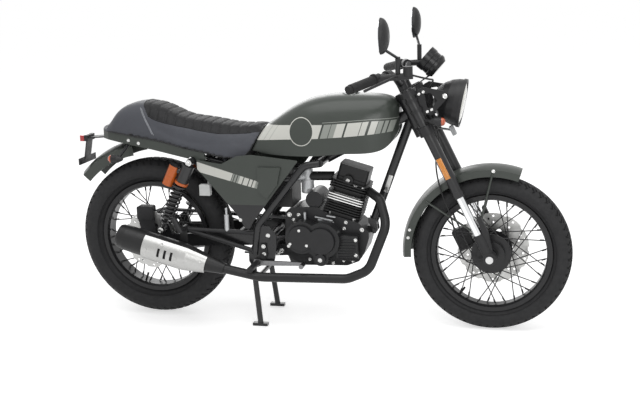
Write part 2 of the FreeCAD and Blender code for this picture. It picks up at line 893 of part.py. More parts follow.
def fork():
    tubes = []
    stanchions = []
    sliders = []
    inner_radius = s.stanchion_radius + s.clearance
    seat = s.fork_tube_bottom + s.stanchion_engaged
    lug_forward_share = 1.1
    for side in SIDES:
        y = side * s.fork_half_width
        low = steer(s.fork_offset, y, s.fork_tube_bottom)
        tube = rod("fork_tube_%d" % side, low, steer(s.fork_offset, y, s.fork_tube_top), "fork_tube_radius")
        seal = cylinder("fork_seal_%d" % side, low, STEER_UP, "fork_seal_height", "fork_seal_radius")
        bore = rod("fork_bore_%d" % side, low - STEER_UP * s.overrun,
                   steer(s.fork_offset, y, seat + s.clearance), inner_radius)
        body = fuse("fork_outer_%d" % side, [tube, seal])
        tubes.append(cut("fork_leg_%d" % side, body, [bore]))
        foot = steer(s.fork_offset, y, s.slider_top - s.slider_pocket + s.clearance)
        stanchions.append(rod("stanchion_%d" % side, foot, steer(s.fork_offset, y, seat),
                              "stanchion_radius"))
        sliders.append(slider(side, y, inner_radius))
    keep(together("fork_tubes", tubes), "fork_tubes")
    keep(together("fork_stanchions", stanchions), "fork_stanchions")
    keep(together("fork_sliders", sliders), "fork_sliders")
    half = s.fork_half_width + s.axle_boss_width / 2
    shaft = cross_rod("front_axle_shaft", front_axle, half + s.clearance, "axle_radius")
    heads = []
    wall = s.fork_half_width - s.axle_boss_width / 2 - s.clearance
    nose = s.disc_thickness + s.hub_nose + s.clearance
    for side, seat_place in ((-1, s.front_disc_place - s.disc_thickness), (1, s.front_disc_place)):
        start = front_axle + LEFT * side * (seat_place + nose)
        heads.append(rod("front_spacer_%d" % side, start, front_axle + LEFT * side * wall, "axle_head_radius"))
        start = front_axle + LEFT * side * (half + s.clearance)
        heads.append(cylinder("front_axle_head_%d" % side, start, LEFT * side, "axle_head",
                              "axle_head_radius"))
    keep(fuse("front_axle", [shaft] + heads), "front_axle")


def slider(side, y, inner_radius):
    """The fork's foot: a socket for the stanchion, the axle's boss and a lug for the fender stay."""
    name = "slider_%d" % side
    centre = front_axle + LEFT * y
    socket = rod(name + "_socket", centre, steer(s.fork_offset, y, s.slider_top), "slider_radius")
    boss = cross_rod(name + "_boss", centre, s.axle_boss_width / 2, "axle_boss_radius")
    lug_points = [steer(s.fork_offset + s.slider_radius * f, y - s.slider_radius / 2, s.slider_top * u)
                  for f, u in ((0, 0.1), (1.1, 0.25), (1.9, 1.0), (1.9, 1.6), (1.2, 1.6), (0.7, 0.9))]
    lug = plate(name + "_lug", lug_points, LEFT, s.slider_radius, s.slider_radius / 4)
    parts = [socket, boss, lug]
    tools = [
        rod(name + "_pocket", steer(s.fork_offset, y, s.slider_top - s.slider_pocket),
            steer(s.fork_offset, y, s.slider_top + s.overrun), inner_radius),
        cross_rod(name + "_axle_hole", centre, s.overrun, s.axle_radius + s.clearance),
    ]
    if side > 0:
        parts.append(caliper_arm(name, y))
    return cut(name, fuse(name + "_body", parts), tools)


def caliper_arm(name, y):
    """The left slider's plate that carries the caliper, outside the disc."""
    arm_shares = ((-0.4, 0.35), (-0.4, 1.0), (-2.4, 0.92), (-4.4, 0.85), (-4.4, 0.5), (-2.2, 0.3))
    inner = s.front_disc_place + s.disc_thickness / 2 + s.caliper_outer + s.clearance
    points = [steer(s.fork_offset + s.slider_radius * f, inner, s.slider_top * u) for f, u in arm_shares]
    return plate(name + "_arm", points, LEFT, y - inner, s.slider_radius / 3)


def fork_tube_clearance(name):
    """Copies of the fork tubes, a clearance larger, to cut what clamps or meets them."""
    return [rod("%s_%d" % (name, side), steer(s.fork_offset, side * s.fork_half_width, s.fork_tube_bottom),
                steer(s.fork_offset, side * s.fork_half_width, s.fork_tube_top + s.overrun),
                s.fork_tube_radius + s.clearance) for side in SIDES]


def control_clamp_spot(side):
    """The place on the bar that the brake or clutch lever's clamp holds."""
    turn, end = bar_points(side)[2:]
    clamp_share = 0.2
    return on_line(turn, end, clamp_share), (end - turn).normalize()


def hand_controls():
    """A clamp, a cylinder body and a lever each side, the right one with its fluid reservoir."""
    items = []
    for side, label in ((-1, "brake_controls"), (1, "clutch_controls")):
        spot, along = control_clamp_spot(side)
        tip = place(s.control_tip_x, side * s.control_tip_y, s.control_tip_z)
        ring = rod(label + "_ring", spot - along * s.control_ring / 2, spot + along * s.control_ring / 2,
                   "control_ring_radius")
        parts = [ring, rod(label + "_body", spot, tip, "control_body_radius")]
        post = on_line(spot, tip, 0.3)
        bend = place(s.lever_bend_x, side * s.lever_bend_y, post.z)
        end = place(s.lever_end_x, side * s.lever_end_y, s.lever_end_z)
        start = on_line(spot, tip, 0.62)
        parts.append(bent_tube(label + "_lever", [start, bend, end], s.lever_radius * 4, "lever_radius"))
        if side < 0:
            pot = tip - (tip - spot).normalize() * s.brake_reservoir_radius
            parts.append(rod(label + "_pot", pot, pot + UP * s.brake_reservoir_height, "brake_reservoir_radius"))
        rise, turn = bar_points(side)[1:3]
        parts_bar = rod(label + "_switch", on_line(rise, turn, 0.3), on_line(rise, turn, 0.8), "control_ring_radius")
        hole = rod(label + "_bore", spot - along * s.overrun, spot + along * s.overrun, s.bar_radius + s.clearance)
        low_hole = rod(label + "_switch_bore", on_line(rise, turn, -0.5), on_line(rise, turn, 1.5),
                       s.bar_radius + s.clearance)
        lever_side = cut(label + "_lever_side", fuse(label + "_parts", parts), [hole])
        switch = cut(label + "_switch_body", parts_bar, [low_hole])
        items += [lever_side, switch]
    keep(together("hand_controls", items), "hand_controls")


def yoke_plate(name, up, height, rear):
    """A yoke: a bar between two clamps that hold the fork tubes."""
    y = s.fork_half_width
    corner = s.fork_offset - s.yoke_radius / 2
    half = [steer(-rear, rear / 2, up), steer(-rear / 6, rear, up), steer(corner, y, up),
            steer(s.yoke_web_front, y, up)]
    outline = half + [V(p.x, -p.y, p.z) for p in reversed(half)]
    parts = [plate(name + "_bar", outline, STEER_UP, height)]
    tools = []
    for side in SIDES:
        low = steer(s.fork_offset, side * y, up)
        parts.append(cylinder("%s_clamp_%d" % (name, side), low, STEER_UP, height, "yoke_radius"))
        tools.append(cylinder("%s_hole_%d" % (name, side), low - STEER_UP * s.overrun, STEER_UP,
                              height + 2 * s.overrun, s.fork_tube_radius + s.clearance))
    return cut(name, fuse(name + "_blank", parts), tools)


def yoke_clearance(name):
    """Rings a clearance larger than the yokes' clamps, to cut what comes near them."""
    tools = []
    for side in SIDES:
        for up, height in ((s.lower_yoke_place, s.lower_yoke_height), (s.upper_yoke_place, s.upper_yoke_height)):
            low = steer(s.fork_offset, side * s.fork_half_width, up - s.clearance)
            tools.append(cylinder("%s_%d_%d" % (name, side, up), low, STEER_UP, height + 2 * s.clearance,
                                  s.yoke_radius + s.clearance))
    return tools


def yokes():
    lower = yoke_plate("lower_yoke", s.lower_yoke_place, s.lower_yoke_height, s.lower_web_rear)
    upper = yoke_plate("upper_yoke", s.upper_yoke_place, s.upper_yoke_height, s.yoke_web_rear)
    stem = rod("steering_stem", steer(0, 0, s.lower_yoke_place),
               steer(0, 0, s.upper_yoke_place + s.upper_yoke_height), "stem_radius")
    keep(fuse("yokes", [lower, upper, stem] + bar_risers() + horn()), "yokes")


def horn():
    """The small square horn on its arm, ahead of the lower yoke."""
    centre = place(s.horn_x, 0, s.horn_z)
    half = s.horn_width / 2
    corner_shares = ((-1, -1), (1, -1), (1, 1), (-1, 1))
    start = centre - STEER_FORWARD * s.horn_thickness / 2
    corners = [start + LEFT * half * u + STEER_UP * half * w for u, w in corner_shares]
    slab = plate("horn_slab", corners, STEER_FORWARD, "horn_thickness", half / 3)
    root = steer(s.yoke_web_front - s.bar_radius, 0, s.lower_yoke_place + s.lower_yoke_height / 2)
    return [slab, rod("horn_arm", root, centre, "horn_arm_radius")]


def bar_risers():
    """The two clamps on the upper yoke that hold the handlebar."""
    top = s.upper_yoke_place + s.upper_yoke_height
    risers = []
    for side in SIDES:
        y = side * s.riser_place
        post = rod("riser_%d" % side, steer(s.riser_forward, y, top - s.upper_yoke_height / 2),
                   steer(s.riser_forward, y, top + s.riser_height + s.riser_radius), "riser_radius")
        hole = cross_rod("riser_hole_%d" % side, steer(s.riser_forward, 0, top + s.riser_height),
                         s.riser_place * 2, s.bar_radius + s.clearance)
        risers.append(cut("riser_clamp_%d" % side, post, [hole]))
    return risers


def bar_points(side):
    base = steer(s.riser_forward, 0, s.upper_yoke_place + s.upper_yoke_height + s.riser_height)
    return [base + LEFT * side * s.bar_straight,
            place(s.bar_rise_x, side * s.bar_rise_y, s.bar_rise_z),
            place(s.bar_turn_x, side * s.bar_turn_y, s.bar_turn_z),
            place(s.bar_end_x, side * s.bar_end_y, s.bar_end_z)]


def handlebar():
    right = bar_points(-1)
    left = bar_points(1)
    points = right[::-1] + left
    keep(bent_tube("handlebar", points, s.bar_bend_radius, "bar_radius"), "handlebar")
    grips = []
    for side in SIDES:
        turn, end = bar_points(side)[2:]
        along = (end - turn).normalize()
        start = end - along * s.grip_length
        sleeve = rod("grip_sleeve_%d" % side, start, end, "grip_radius")
        flange = cylinder("grip_flange_%d" % side, start, along, "grip_flange", "grip_flange_radius")
        hole = rod("grip_bore_%d" % side, start - along * s.overrun, end + along * s.overrun,
                   s.bar_radius + s.clearance)
        sleeve = cut("grip_%d" % side, fuse("grip_body_%d" % side, [sleeve, flange]), [hole])
        grips.append(sleeve)
        grips.append(cylinder("bar_weight_%d" % side, end + along * s.clearance, along, "bar_weight",
                              "bar_weight_radius"))
    keep(together("grips", grips), "grips")


# Headlight, gauge, mirrors and front lamps

def headlight():
    turn = math.radians(s.headlight_angle)
    ahead = V(math.cos(turn), 0, -math.sin(turn))
    out = V(math.sin(turn), 0, math.cos(turn))
    centre = place(s.headlight_x, 0, s.headlight_z)
    bowl_shares = ((-1.0, 0.0), (-1.0, 0.34), (-0.9, 0.52), (-0.7, 0.74), (-0.45, 0.9), (-0.2, 0.98), (0.0, 1.0))
    lens_seat_share = 0.9
    bowl = [(s.headlight_depth * u, s.headlight_radius * w) for u, w in bowl_shares]
    bowl += [(0, s.headlight_radius + s.headlight_ring_lip),
             (s.headlight_ring, s.headlight_radius + s.headlight_ring_lip),
             (s.headlight_ring, s.headlight_radius - s.headlight_ring_lip),
             (0, s.headlight_radius * lens_seat_share), (0, 0)]
    shell = turned_profile("headlight_shell", centre, ahead, out, bowl)
    bolt = place(s.bracket_bolt_x, 0, s.bracket_bolt_z)
    boss = cross_rod("headlight_boss", bolt, s.bracket_y - s.clearance, "peg_spindle_radius")
    keep(fuse("headlight_bowl", [shell, boss]), "headlight_bowl")
    lens_shares = ((1.0, 0.0), (0.95, 0.4), (0.75, 0.7), (0.3, 0.94), (0.0, 1.0))
    rim_radius = s.headlight_radius * lens_seat_share - s.clearance
    lens = [(s.clearance, 0)]
    lens += [(s.headlight_ring / 2 + s.lens_bulge * u, rim_radius * w) for u, w in lens_shares]
    lens += [(s.clearance, rim_radius)]
    keep(turned_profile("headlight_lens", centre, ahead, out, lens), "headlight_lens")


def headlight_bracket():
    """Two side plates with a window, clamped to the fork tubes and bolted to the bowl."""
    items = []
    outline_shares = ((-0.36, 0.1), (0.0, 0.0), (0.36, -0.05), (1.0, 0.52), (0.9, 0.86), (-0.08, 1.0),
                      (-0.3, 0.9), (-0.56, 0.64))
    window_shares = ((0.16, 0.22), (0.38, 0.22), (0.6, 0.5), (0.3, 0.78), (0.0, 0.74))
    length_share = 0.82
    height_share = 1.12
    bolt_shares = (0.86, 0.62)
    ring_shares = (0.905, 0.965)
    length = s.headlight_depth * length_share
    height = s.headlight_radius * height_share
    low_x = s.bracket_bolt_x - length * bolt_shares[0]
    low_z = s.bracket_bolt_z - height * bolt_shares[1]
    for side in SIDES:
        y = side * s.bracket_y
        outer = shared_points(low_x, length, low_z, height, y, outline_shares)
        window = shared_points(low_x, length, low_z, height, y - side * s.overrun, window_shares)
        slab = plate("bracket_slab_%d" % side, outer, LEFT * side, "bracket_thickness", s.bar_radius / 4)
        hole = plate("bracket_window_%d" % side, window, LEFT * side, s.overrun * 2, s.bar_radius / 3)
        parts = [slab]
        for k, share in enumerate(ring_shares):
            low = steer(s.fork_offset, side * s.fork_half_width, s.upper_yoke_place * share)
            parts.append(cylinder("bracket_ring_%d_%d" % (side, k), low, STEER_UP, "bracket_thickness * 3",
                                  "fork_tube_radius + bracket_thickness"))
        centre = place(s.bracket_bolt_x, side * s.bracket_y, s.bracket_bolt_z)
        parts.append(rod("bracket_bolt_%d" % side, centre + LEFT * side * s.bracket_thickness / 2,
                         centre + LEFT * side * s.bracket_thickness * 2, "mount_bolt_radius"))
        tools = [hole] + fork_tube_clearance("bracket_tube_%d" % side) + yoke_clearance("bracket_yoke_%d" % side)
        items.append(cut("bracket_plate_%d" % side, fuse("bracket_body_%d" % side, parts), tools))
    keep(together("headlight_bracket", items), "headlight_bracket")


def oval(name, centre, ahead, share):
    """An upright oval, square to the way ahead, at a share of the mirror's size."""
    item = doc.addObject("Part::Ellipse", name)
    size(item, "MajorRadius", s.mirror_half_height * share)
    size(item, "MinorRadius", s.mirror_half_width * share)
    turn = FreeCAD.Rotation(UP, -LEFT, FORWARD, "XYZ")
    item.Placement = FreeCAD.Placement(centre + FORWARD * ahead, turn)
    return item


def gauge():
    turn = math.radians(s.gauge_angle)
    face = V(-math.cos(turn), 0, math.sin(turn))
    out = V(math.sin(turn), 0, math.cos(turn))
    centre = place(s.gauge_x, 0, s.gauge_z)
    shares = ((0.0, 0.0), (0.0, 0.9), (0.06, 1.0), (-0.3, 1.0), (-0.34, 0.94), (-0.62, 0.94), (-0.66, 1.0),
              (-0.8, 1.0), (-1.0, 0.8), (-1.0, 0.0))
    section = [(s.gauge_depth * u, s.gauge_radius * w) for u, w in shares]
    can = turned_profile("gauge_can", centre, face, out, section)
    foot = s.upper_yoke_place + s.upper_yoke_height + s.clearance
    half = s.yoke_web_rear / 2
    back = centre - face * s.gauge_depth
    bracket_points = [steer(s.yoke_web_rear, -half, foot), steer(s.yoke_web_front, -half, foot),
                      back - LEFT * half - out * s.gauge_radius / 3, back - LEFT * half + face * s.bar_radius,
                      back - LEFT * half - out * s.gauge_radius * 0.7 + face * s.bar_radius]
    leg = plate("gauge_leg", bracket_points, LEFT, half * 2)
    keep(fuse("gauge", [can, leg]), "gauge")


def mirrors():
    """Oval cups on stems, with the glass on the side that faces the rider."""
    depth_shares = ((0.0, 1.0), (0.4, 0.94), (0.73, 0.75), (1.0, 0.33))
    glass_share = 0.92
    neck_share = 0.7
    knee_share = 0.42
    shells = []
    glasses = []
    for side in SIDES:
        centre = place(s.mirror_x, side * s.mirror_y, s.mirror_z)
        ovals = [oval("mirror_oval_%d_%d" % (side, i), centre, s.mirror_depth * u, w)
                 for i, (u, w) in enumerate(depth_shares)]
        cup = lofted("mirror_cup_%d" % side, ovals)
        base = place(s.mirror_base_x, side * s.mirror_base_y, s.mirror_base_z)
        neck = centre + FORWARD * s.mirror_depth / 3 - UP * s.mirror_half_height * neck_share
        knee = base + UP * (s.mirror_z - s.mirror_base_z) * knee_share
        post = rod("mirror_post_%d" % side, base, knee, "mirror_post_radius")
        stem = rod("mirror_stem_%d" % side, knee - UP * s.mirror_stem_radius, neck, "mirror_stem_radius")
        shells.append(fuse("mirror_body_%d" % side, [cup, post, stem]))
        rim_oval = oval("mirror_glass_rim_%d" % side, centre, -s.clearance, glass_share)
        pane = doc.addObject("Part::Extrusion", "mirror_pane_%d" % side)
        pane.Base = rim_oval
        pane.DirMode = "Custom"
        pane.Dir = -FORWARD
        size(pane, "LengthFwd", "mirror_glass")
        pane.Solid = True
        glasses.append(pane)
    keep(together("mirror_shells", shells), "mirror_shells")
    keep(together("mirror_glass", glasses), "mirror_glass")


def rear_lamp_stem(side):
    """Where the rear indicator's stem starts in the lamp, and where it meets the rail."""
    stem_share = 0.55
    rail_share = 0.1
    tip = place(s.rear_lamp_x, side * s.rear_lamp_y, s.rear_lamp_z)
    return (tip + FORWARD * s.front_lamp_length * stem_share,
            on_line(rail_points(side)[2], rail_points(side)[1], rail_share))


def bullet_lamp(name, tip, inboard, ahead, length, radius):
    """A tapered lamp body on a stem, and its lens on the end that faces ahead."""
    out = UP
    body_shares = ((0.0, 0.0), (0.0, 1.0), (-0.55, 0.96), (-0.9, 0.5), (-1.0, 0.3), (-1.0, 0.0))
    stem_share = 0.55
    body = turned_profile(name + "_body", tip, ahead, out,
                          [(length * u, radius * w) for u, w in body_shares])
    stem = rod(name + "_stem", tip - ahead * length * stem_share, inboard, "lamp_stem_radius")
    lens_shares = ((0.0, 0.0), (0.0, 0.94), (0.14, 0.9), (0.26, 0.6), (0.32, 0.0))
    lens_start = tip + ahead * s.clearance
    lens = turned_profile(name + "_lens", lens_start, ahead, out,
                          [(length * u, radius * w) for u, w in lens_shares])
    return fuse(name, [body, stem]), lens


def lamps():
    tube_place_share = 0.858
    bodies = []
    lenses = []
    for side in SIDES:
        tip = place(s.front_lamp_x, side * s.front_lamp_y, s.front_lamp_z)
        inboard = steer(s.fork_offset, side * s.fork_half_width, s.upper_yoke_place * tube_place_share)
        body, lens = bullet_lamp("front_lamp_%d" % side, tip, inboard, FORWARD, s.front_lamp_length,
                                 s.front_lamp_radius)
        bodies.append(cut("front_lamp_trimmed_%d" % side, body, fork_tube_clearance("lamp_tube_%d" % side)))
        lenses.append(lens)
    keep(together("front_indicators", bodies), "front_indicators")
    keep(together("front_indicator_lenses", lenses), "front_indicator_lenses")
    rear_bodies = []
    rear_lenses = []
    for side in SIDES:
        tip = place(s.rear_lamp_x, side * s.rear_lamp_y, s.rear_lamp_z)
        body, lens = bullet_lamp("rear_lamp_%d" % side, tip, rear_lamp_stem(side)[1], -FORWARD,
                                 s.front_lamp_length, s.front_lamp_radius)
        rear_bodies.append(cut("rear_lamp_trimmed_%d" % side, body, rail_clearance("rear_lamp_rail_%d" % side)))
        rear_lenses.append(lens)
    tail_lamp(rear_bodies, rear_lenses)


def holder_line():
    """The number holder's strap, from the tail lamp down to the holder's bar."""
    low_share = 0.35
    lens_front = s.tail_lamp_x + s.tail_lamp_length / 2
    case_x = lens_front + s.clearance + s.tail_lamp_length / 4
    return (place(case_x, 0, s.tail_lamp_z - s.tail_lamp_height * low_share),
            place(s.number_holder_x, 0, s.number_holder_z))


def holder_strap(name, grow):
    """The strap itself, or with grow the space that it needs in the fender."""
    top, low = holder_line()
    along = (low - top).normalize()
    return box(name, on_line(top, low, 1 / 2), (low - top).Length + grow * 2, s.lamp_bracket_width + grow * 2,
               s.lamp_bracket + grow * 2, along)


# Fenders

def fender(name, centre, radius, half_width, depth, start_angle, sweep_angle):
    """A thin crowned shell, turned part of the way round the wheel."""
    crown_share = 0.78
    inner = s.fender_thickness
    start = math.radians(start_angle)
    out = V(math.cos(start), 0, math.sin(start))

    def at(r, y):
        return centre + out * r + LEFT * y

    edge = radius - depth * 0.35
    low = radius - depth
    edges = [
        Part.LineSegment(at(low, -half_width), at(edge, -half_width)).toShape(),
        Part.Arc(at(edge, -half_width), at(radius, 0), at(edge, half_width)).toShape(),
        Part.LineSegment(at(edge, half_width), at(low, half_width)).toShape(),
        Part.LineSegment(at(low, half_width), at(low, half_width - inner)).toShape(),
        Part.LineSegment(at(low, half_width - inner), at(edge, half_width - inner)).toShape(),
        Part.Arc(at(edge, half_width - inner), at(radius - inner, 0), at(edge, -half_width + inner)).toShape(),
        Part.LineSegment(at(edge, -half_width + inner), at(low, -half_width + inner)).toShape(),
        Part.LineSegment(at(low, -half_width + inner), at(low, -half_width)).toShape(),
    ]
    return spun(name, edges, centre, -LEFT, sweep_angle)


def fenders():
    front = fender("front_fender_shell", front_axle, s.front_fender_radius, s.fender_half_width,
                   s.front_fender_depth, s.front_fender_start_angle, s.front_fender_sweep_angle)
    parts = [front]
    wall_y = s.fender_half_width + s.stay_radius / 2
    lug_y = s.fork_half_width - s.slider_radius / 2 - s.stay_radius - s.clearance
    socket_y = s.fork_half_width - s.slider_radius - s.stay_radius - s.clearance
    stay_radius_share = 0.93
    lug_shares = (1.55, 1.45)
    socket_share = 0.85
    stay_radius = s.front_fender_radius * stay_radius_share
    for side in SIDES:
        lug = steer(s.fork_offset + s.slider_radius * lug_shares[0], side * lug_y, s.slider_top * lug_shares[1])
        high = around(front_axle, stay_radius, s.front_stay_angle) + LEFT * side * wall_y
        parts.append(rod("front_stay_%d" % side, lug, high, "stay_radius"))
        socket = steer(s.fork_offset, side * socket_y, s.slider_top * socket_share)
        back = around(front_axle, stay_radius, s.rear_stay_angle) + LEFT * side * wall_y
        parts.append(rod("rear_stay_%d" % side, socket, back, "stay_radius"))
    keep(fuse("front_fender", parts), "front_fender")
    shell = fender("rear_fender_shell", rear_axle, s.rear_fender_radius, s.rear_fender_half_width,
                   s.rear_fender_depth, s.rear_fender_start_angle, s.rear_fender_sweep_angle)
    tube = tail_tube_centre()
    foot_share = 0.94
    foot = rear_axle.z + s.rear_fender_radius * foot_share
    post_top = tube.z - s.lamp_bracket - s.clearance
    post = box("rear_fender_post", V(tube.x, 0, (post_top + foot) / 2), s.rail_radius * 2, s.lamp_bracket_width,
               post_top - foot)
    trim = cross_rod("rear_fender_tube", tube, s.rail_rear_y, s.cross_brace_radius + s.clearance)
    tools = [trim, holder_strap("rear_fender_strap_gap", s.clearance)]
    keep(cut("rear_fender", fuse("rear_fender_body", [shell, post]), tools), "rear_fender")


def rear_brake_cylinder():
    """The rear brake's upright cylinder on the footrest hanger, and its fluid box on the strut."""
    tube_end, tube_start = side_tube_points(-1)[3], side_tube_points(-1)[2]
    hub = place(s.rear_peg_x, -s.hanger_y, s.rear_peg_z)
    high = on_line(tube_start, tube_end, s.hanger_high_share)
    foot = on_line(hub, high, (s.master_x - s.rear_peg_x) / (high.x + middle - s.rear_peg_x))
    top = place(s.master_x, foot.y, s.master_top_z)
    neck_share = 0.7
    body = fuse("master_body", [rod("master_barrel", foot, on_line(foot, top, neck_share), "master_radius"),
                                rod("master_neck", foot, top, "peg_spindle_radius / 2")])
    gap = rod("master_seat", hub, high, s.strut_radius + s.clearance)
    master = cut("rear_master", body, [gap])
    centre = place(s.reservoir_x, -s.reservoir_y, s.reservoir_z)
    case = box("fluid_box", centre, s.reservoir_box_length, s.reservoir_box_width, s.reservoir_box_height)
    strap_y = s.rail_mid_y + s.rail_radius + s.strut_radius / 2
    strut_low, strut_high = strut_points(-1)[1], strut_points(-1)[0]
    share = (s.reservoir_x + s.reservoir_box_length / 4 - s.shock_top_x) / (strut_low.x + middle - s.shock_top_x)
    spot = on_line(strut_high, strut_low, share)
    strap = rod("fluid_box_strap", V(spot.x, spot.y, centre.z), spot, "mount_bolt_radius")
    fluid = cut("fluid_reservoir", fuse("fluid_body", [case, strap]), strut_clearance("fluid_strut"))
    keep(together("rear_brake_cylinder", [master, fluid]), "rear_brake_cylinder")


def tail_tube_centre():
    return place(s.rail_rear_x + s.rail_radius * 1.4, 0, s.rail_rear_z)


def tail_lamp(rear_bodies, rear_lenses):
    """The lamp's bracket with the number holder under it, and the red lens on its end."""
    tube = tail_tube_centre()
    lens_front = s.tail_lamp_x + s.tail_lamp_length / 2
    lens_centre = place(s.tail_lamp_x + s.tail_lamp_length / 4, 0, s.tail_lamp_z)
    case_x = lens_front + s.clearance + s.tail_lamp_length / 4
    case_centre = place(case_x, 0, s.tail_lamp_z)
    lens = box("tail_lens", lens_centre, s.tail_lamp_length / 2, s.tail_lamp_width, s.tail_lamp_height)
    case = box("tail_case", case_centre, s.tail_lamp_length / 2, s.tail_lamp_width, s.tail_lamp_height)
    half = s.lamp_bracket_width / 2
    start = tube - FORWARD * s.cross_brace_radius / 2
    end = case_centre
    arm_points = [start + UP * s.lamp_bracket / 2, start - UP * s.lamp_bracket / 2,
                  end - UP * s.lamp_bracket / 2, end + UP * s.lamp_bracket / 2]
    arm = plate("tail_arm", [p - LEFT * half for p in arm_points], LEFT, half * 2)
    low = holder_line()[1]
    bar = box("holder_bar", low, s.lamp_bracket, s.number_holder_width, s.lamp_bracket_width / 2)
    tools = [cross_rod("tail_tube_gap", tube, s.rail_rear_y, s.cross_brace_radius + s.clearance)]
    for side in SIDES:
        hole = low + LEFT * side * s.number_hole_gap / 2
        tools.append(rod("holder_hole_%d" % side, hole - FORWARD * s.overrun, hole + FORWARD * s.overrun,
                         "number_hole_radius"))
    parts = [case, arm, holder_strap("holder_web", 0), bar]
    bracket = cut("tail_bracket_trimmed", fuse("tail_bracket_body", parts), tools)
    keep(together("tail_bracket_and_indicators", [bracket] + rear_bodies), "tail_bracket")
    keep(together("rear_lenses", [lens] + rear_lenses), "rear_lenses")


# Calipers

def caliper(name, centre, low_y, inner, length, height, ahead):
    """A block round the disc, rounded at its corners, and the middle of the disc that it grips."""
    mid = low_y + s.disc_thickness / 2
    up = V(-ahead.z, 0, ahead.x)
    start = mid - inner
    corner_shares = ((-0.5, -0.5), (0.5, -0.5), (0.5, 0.5), (-0.5, 0.5))
    corners = [centre + ahead * length * u + up * height * w + LEFT * start for u, w in corner_shares]
    width = s.caliper_inner + s.caliper_outer
    block = plate(name + "_block", corners, LEFT, width, s.caliper_inner / 2)
    return block, mid


def brakes():
    slot_width = s.caliper_slot * 2
    centre = place(s.front_caliper_x, 0, s.front_caliper_z)
    block, mid = caliper("front_caliper", centre, s.front_disc_place, s.caliper_inner,
                         s.front_caliper_length, s.front_caliper_height, STEER_FORWARD)
    slot = cylinder("front_caliper_slot", front_axle + LEFT * (mid - s.caliper_slot), LEFT, slot_width,
                    s.front_disc_radius + s.caliper_slot)
    keep(cut("front_caliper", block, [slot]), "front_caliper")
    centre = place(s.rear_caliper_x, 0, s.rear_caliper_z)
    low_y = -s.rear_disc_place - s.disc_thickness
    block, mid = caliper("rear_caliper", centre, low_y, s.caliper_outer, s.rear_caliper_length,
                         s.rear_caliper_height, FORWARD)
    slot = cylinder("rear_caliper_slot", rear_axle + LEFT * (mid - s.caliper_slot), LEFT, slot_width,
                    s.rear_disc_radius + s.caliper_slot)
    inner = low_y - s.caliper_slot
    hanger_shares = ((-0.55, -0.3), (-0.3, 0.3), (0.3, 0.3), (0.5, -0.3))
    high = [centre + FORWARD * s.rear_caliper_length * u + UP * s.rear_caliper_height * w + LEFT * inner
            for u, w in hanger_shares]
    low = [rear_axle + V(1, 0, 0) * s.hub_nose_radius + LEFT * inner,
           rear_axle - V(0, 0, 1) * s.hub_nose_radius + LEFT * inner,
           rear_axle - V(1, 0, 0) * s.hub_nose_radius + LEFT * inner]
    hanger = plate("rear_caliper_hanger", high + low, -LEFT, s.arm_inner - s.clearance + inner)
    eye = rod("rear_caliper_eye", rear_axle + LEFT * (inner + s.overrun), rear_axle + LEFT * (inner - s.overrun),
              s.axle_head_radius + s.clearance)
    body = cut("rear_caliper_slotted", block, [slot])
    keep(cut("rear_caliper", fuse("rear_caliper_body", [body, hanger]), [eye]), "rear_caliper")


# Frame

def side_tube_points(side):
    y = side * s.frame_half_width
    return [place(s.backbone_x, y, s.backbone_z), place(s.side_tube_x, y, s.side_tube_z),
            place(s.side_tube_low_x, y, s.side_tube_low_z), place(s.side_tube_end_x, y, s.side_tube_end_z)]


def rail_points(side):
    return [place(s.rail_front_x, side * s.frame_half_width, s.rail_front_z),
            place(s.rail_mid_x, side * s.rail_mid_y, s.rail_mid_z),
            place(s.rail_rear_x, side * s.rail_rear_y, s.rail_rear_z)]


def strut_points(side):
    """The strut from the shock's upper mount down to the side tube."""
    low, top = side_tube_points(side)[2], side_tube_points(side)[1]
    strut_share = 0.1
    return [place(s.shock_top_x, side * (s.rail_mid_y + s.rail_radius), s.shock_top_z),
            on_line(low, top, strut_share)]


def side_tube_clearance(name):
    """Copies of the side tubes' straight runs, a clearance larger, to cut what meets them."""
    tools = []
    for side in SIDES:
        points = side_tube_points(side)
        for i in (1, 2):
            tools.append(rod("%s_%d_%d" % (name, side, i), points[i], points[i + 1],
                             s.frame_tube_radius + s.clearance))
    return tools


def rail_clearance(name):
    tools = []
    for side in SIDES:
        points = rail_points(side)
        for i in (0, 1):
            tools.append(rod("%s_%d_%d" % (name, side, i), points[i], points[i + 1],
                             s.rail_radius + s.clearance))
    return tools


def strut_clearance(name):
    return [rod("%s_%d" % (name, side), *strut_points(side), s.strut_radius + s.clearance) for side in SIDES]


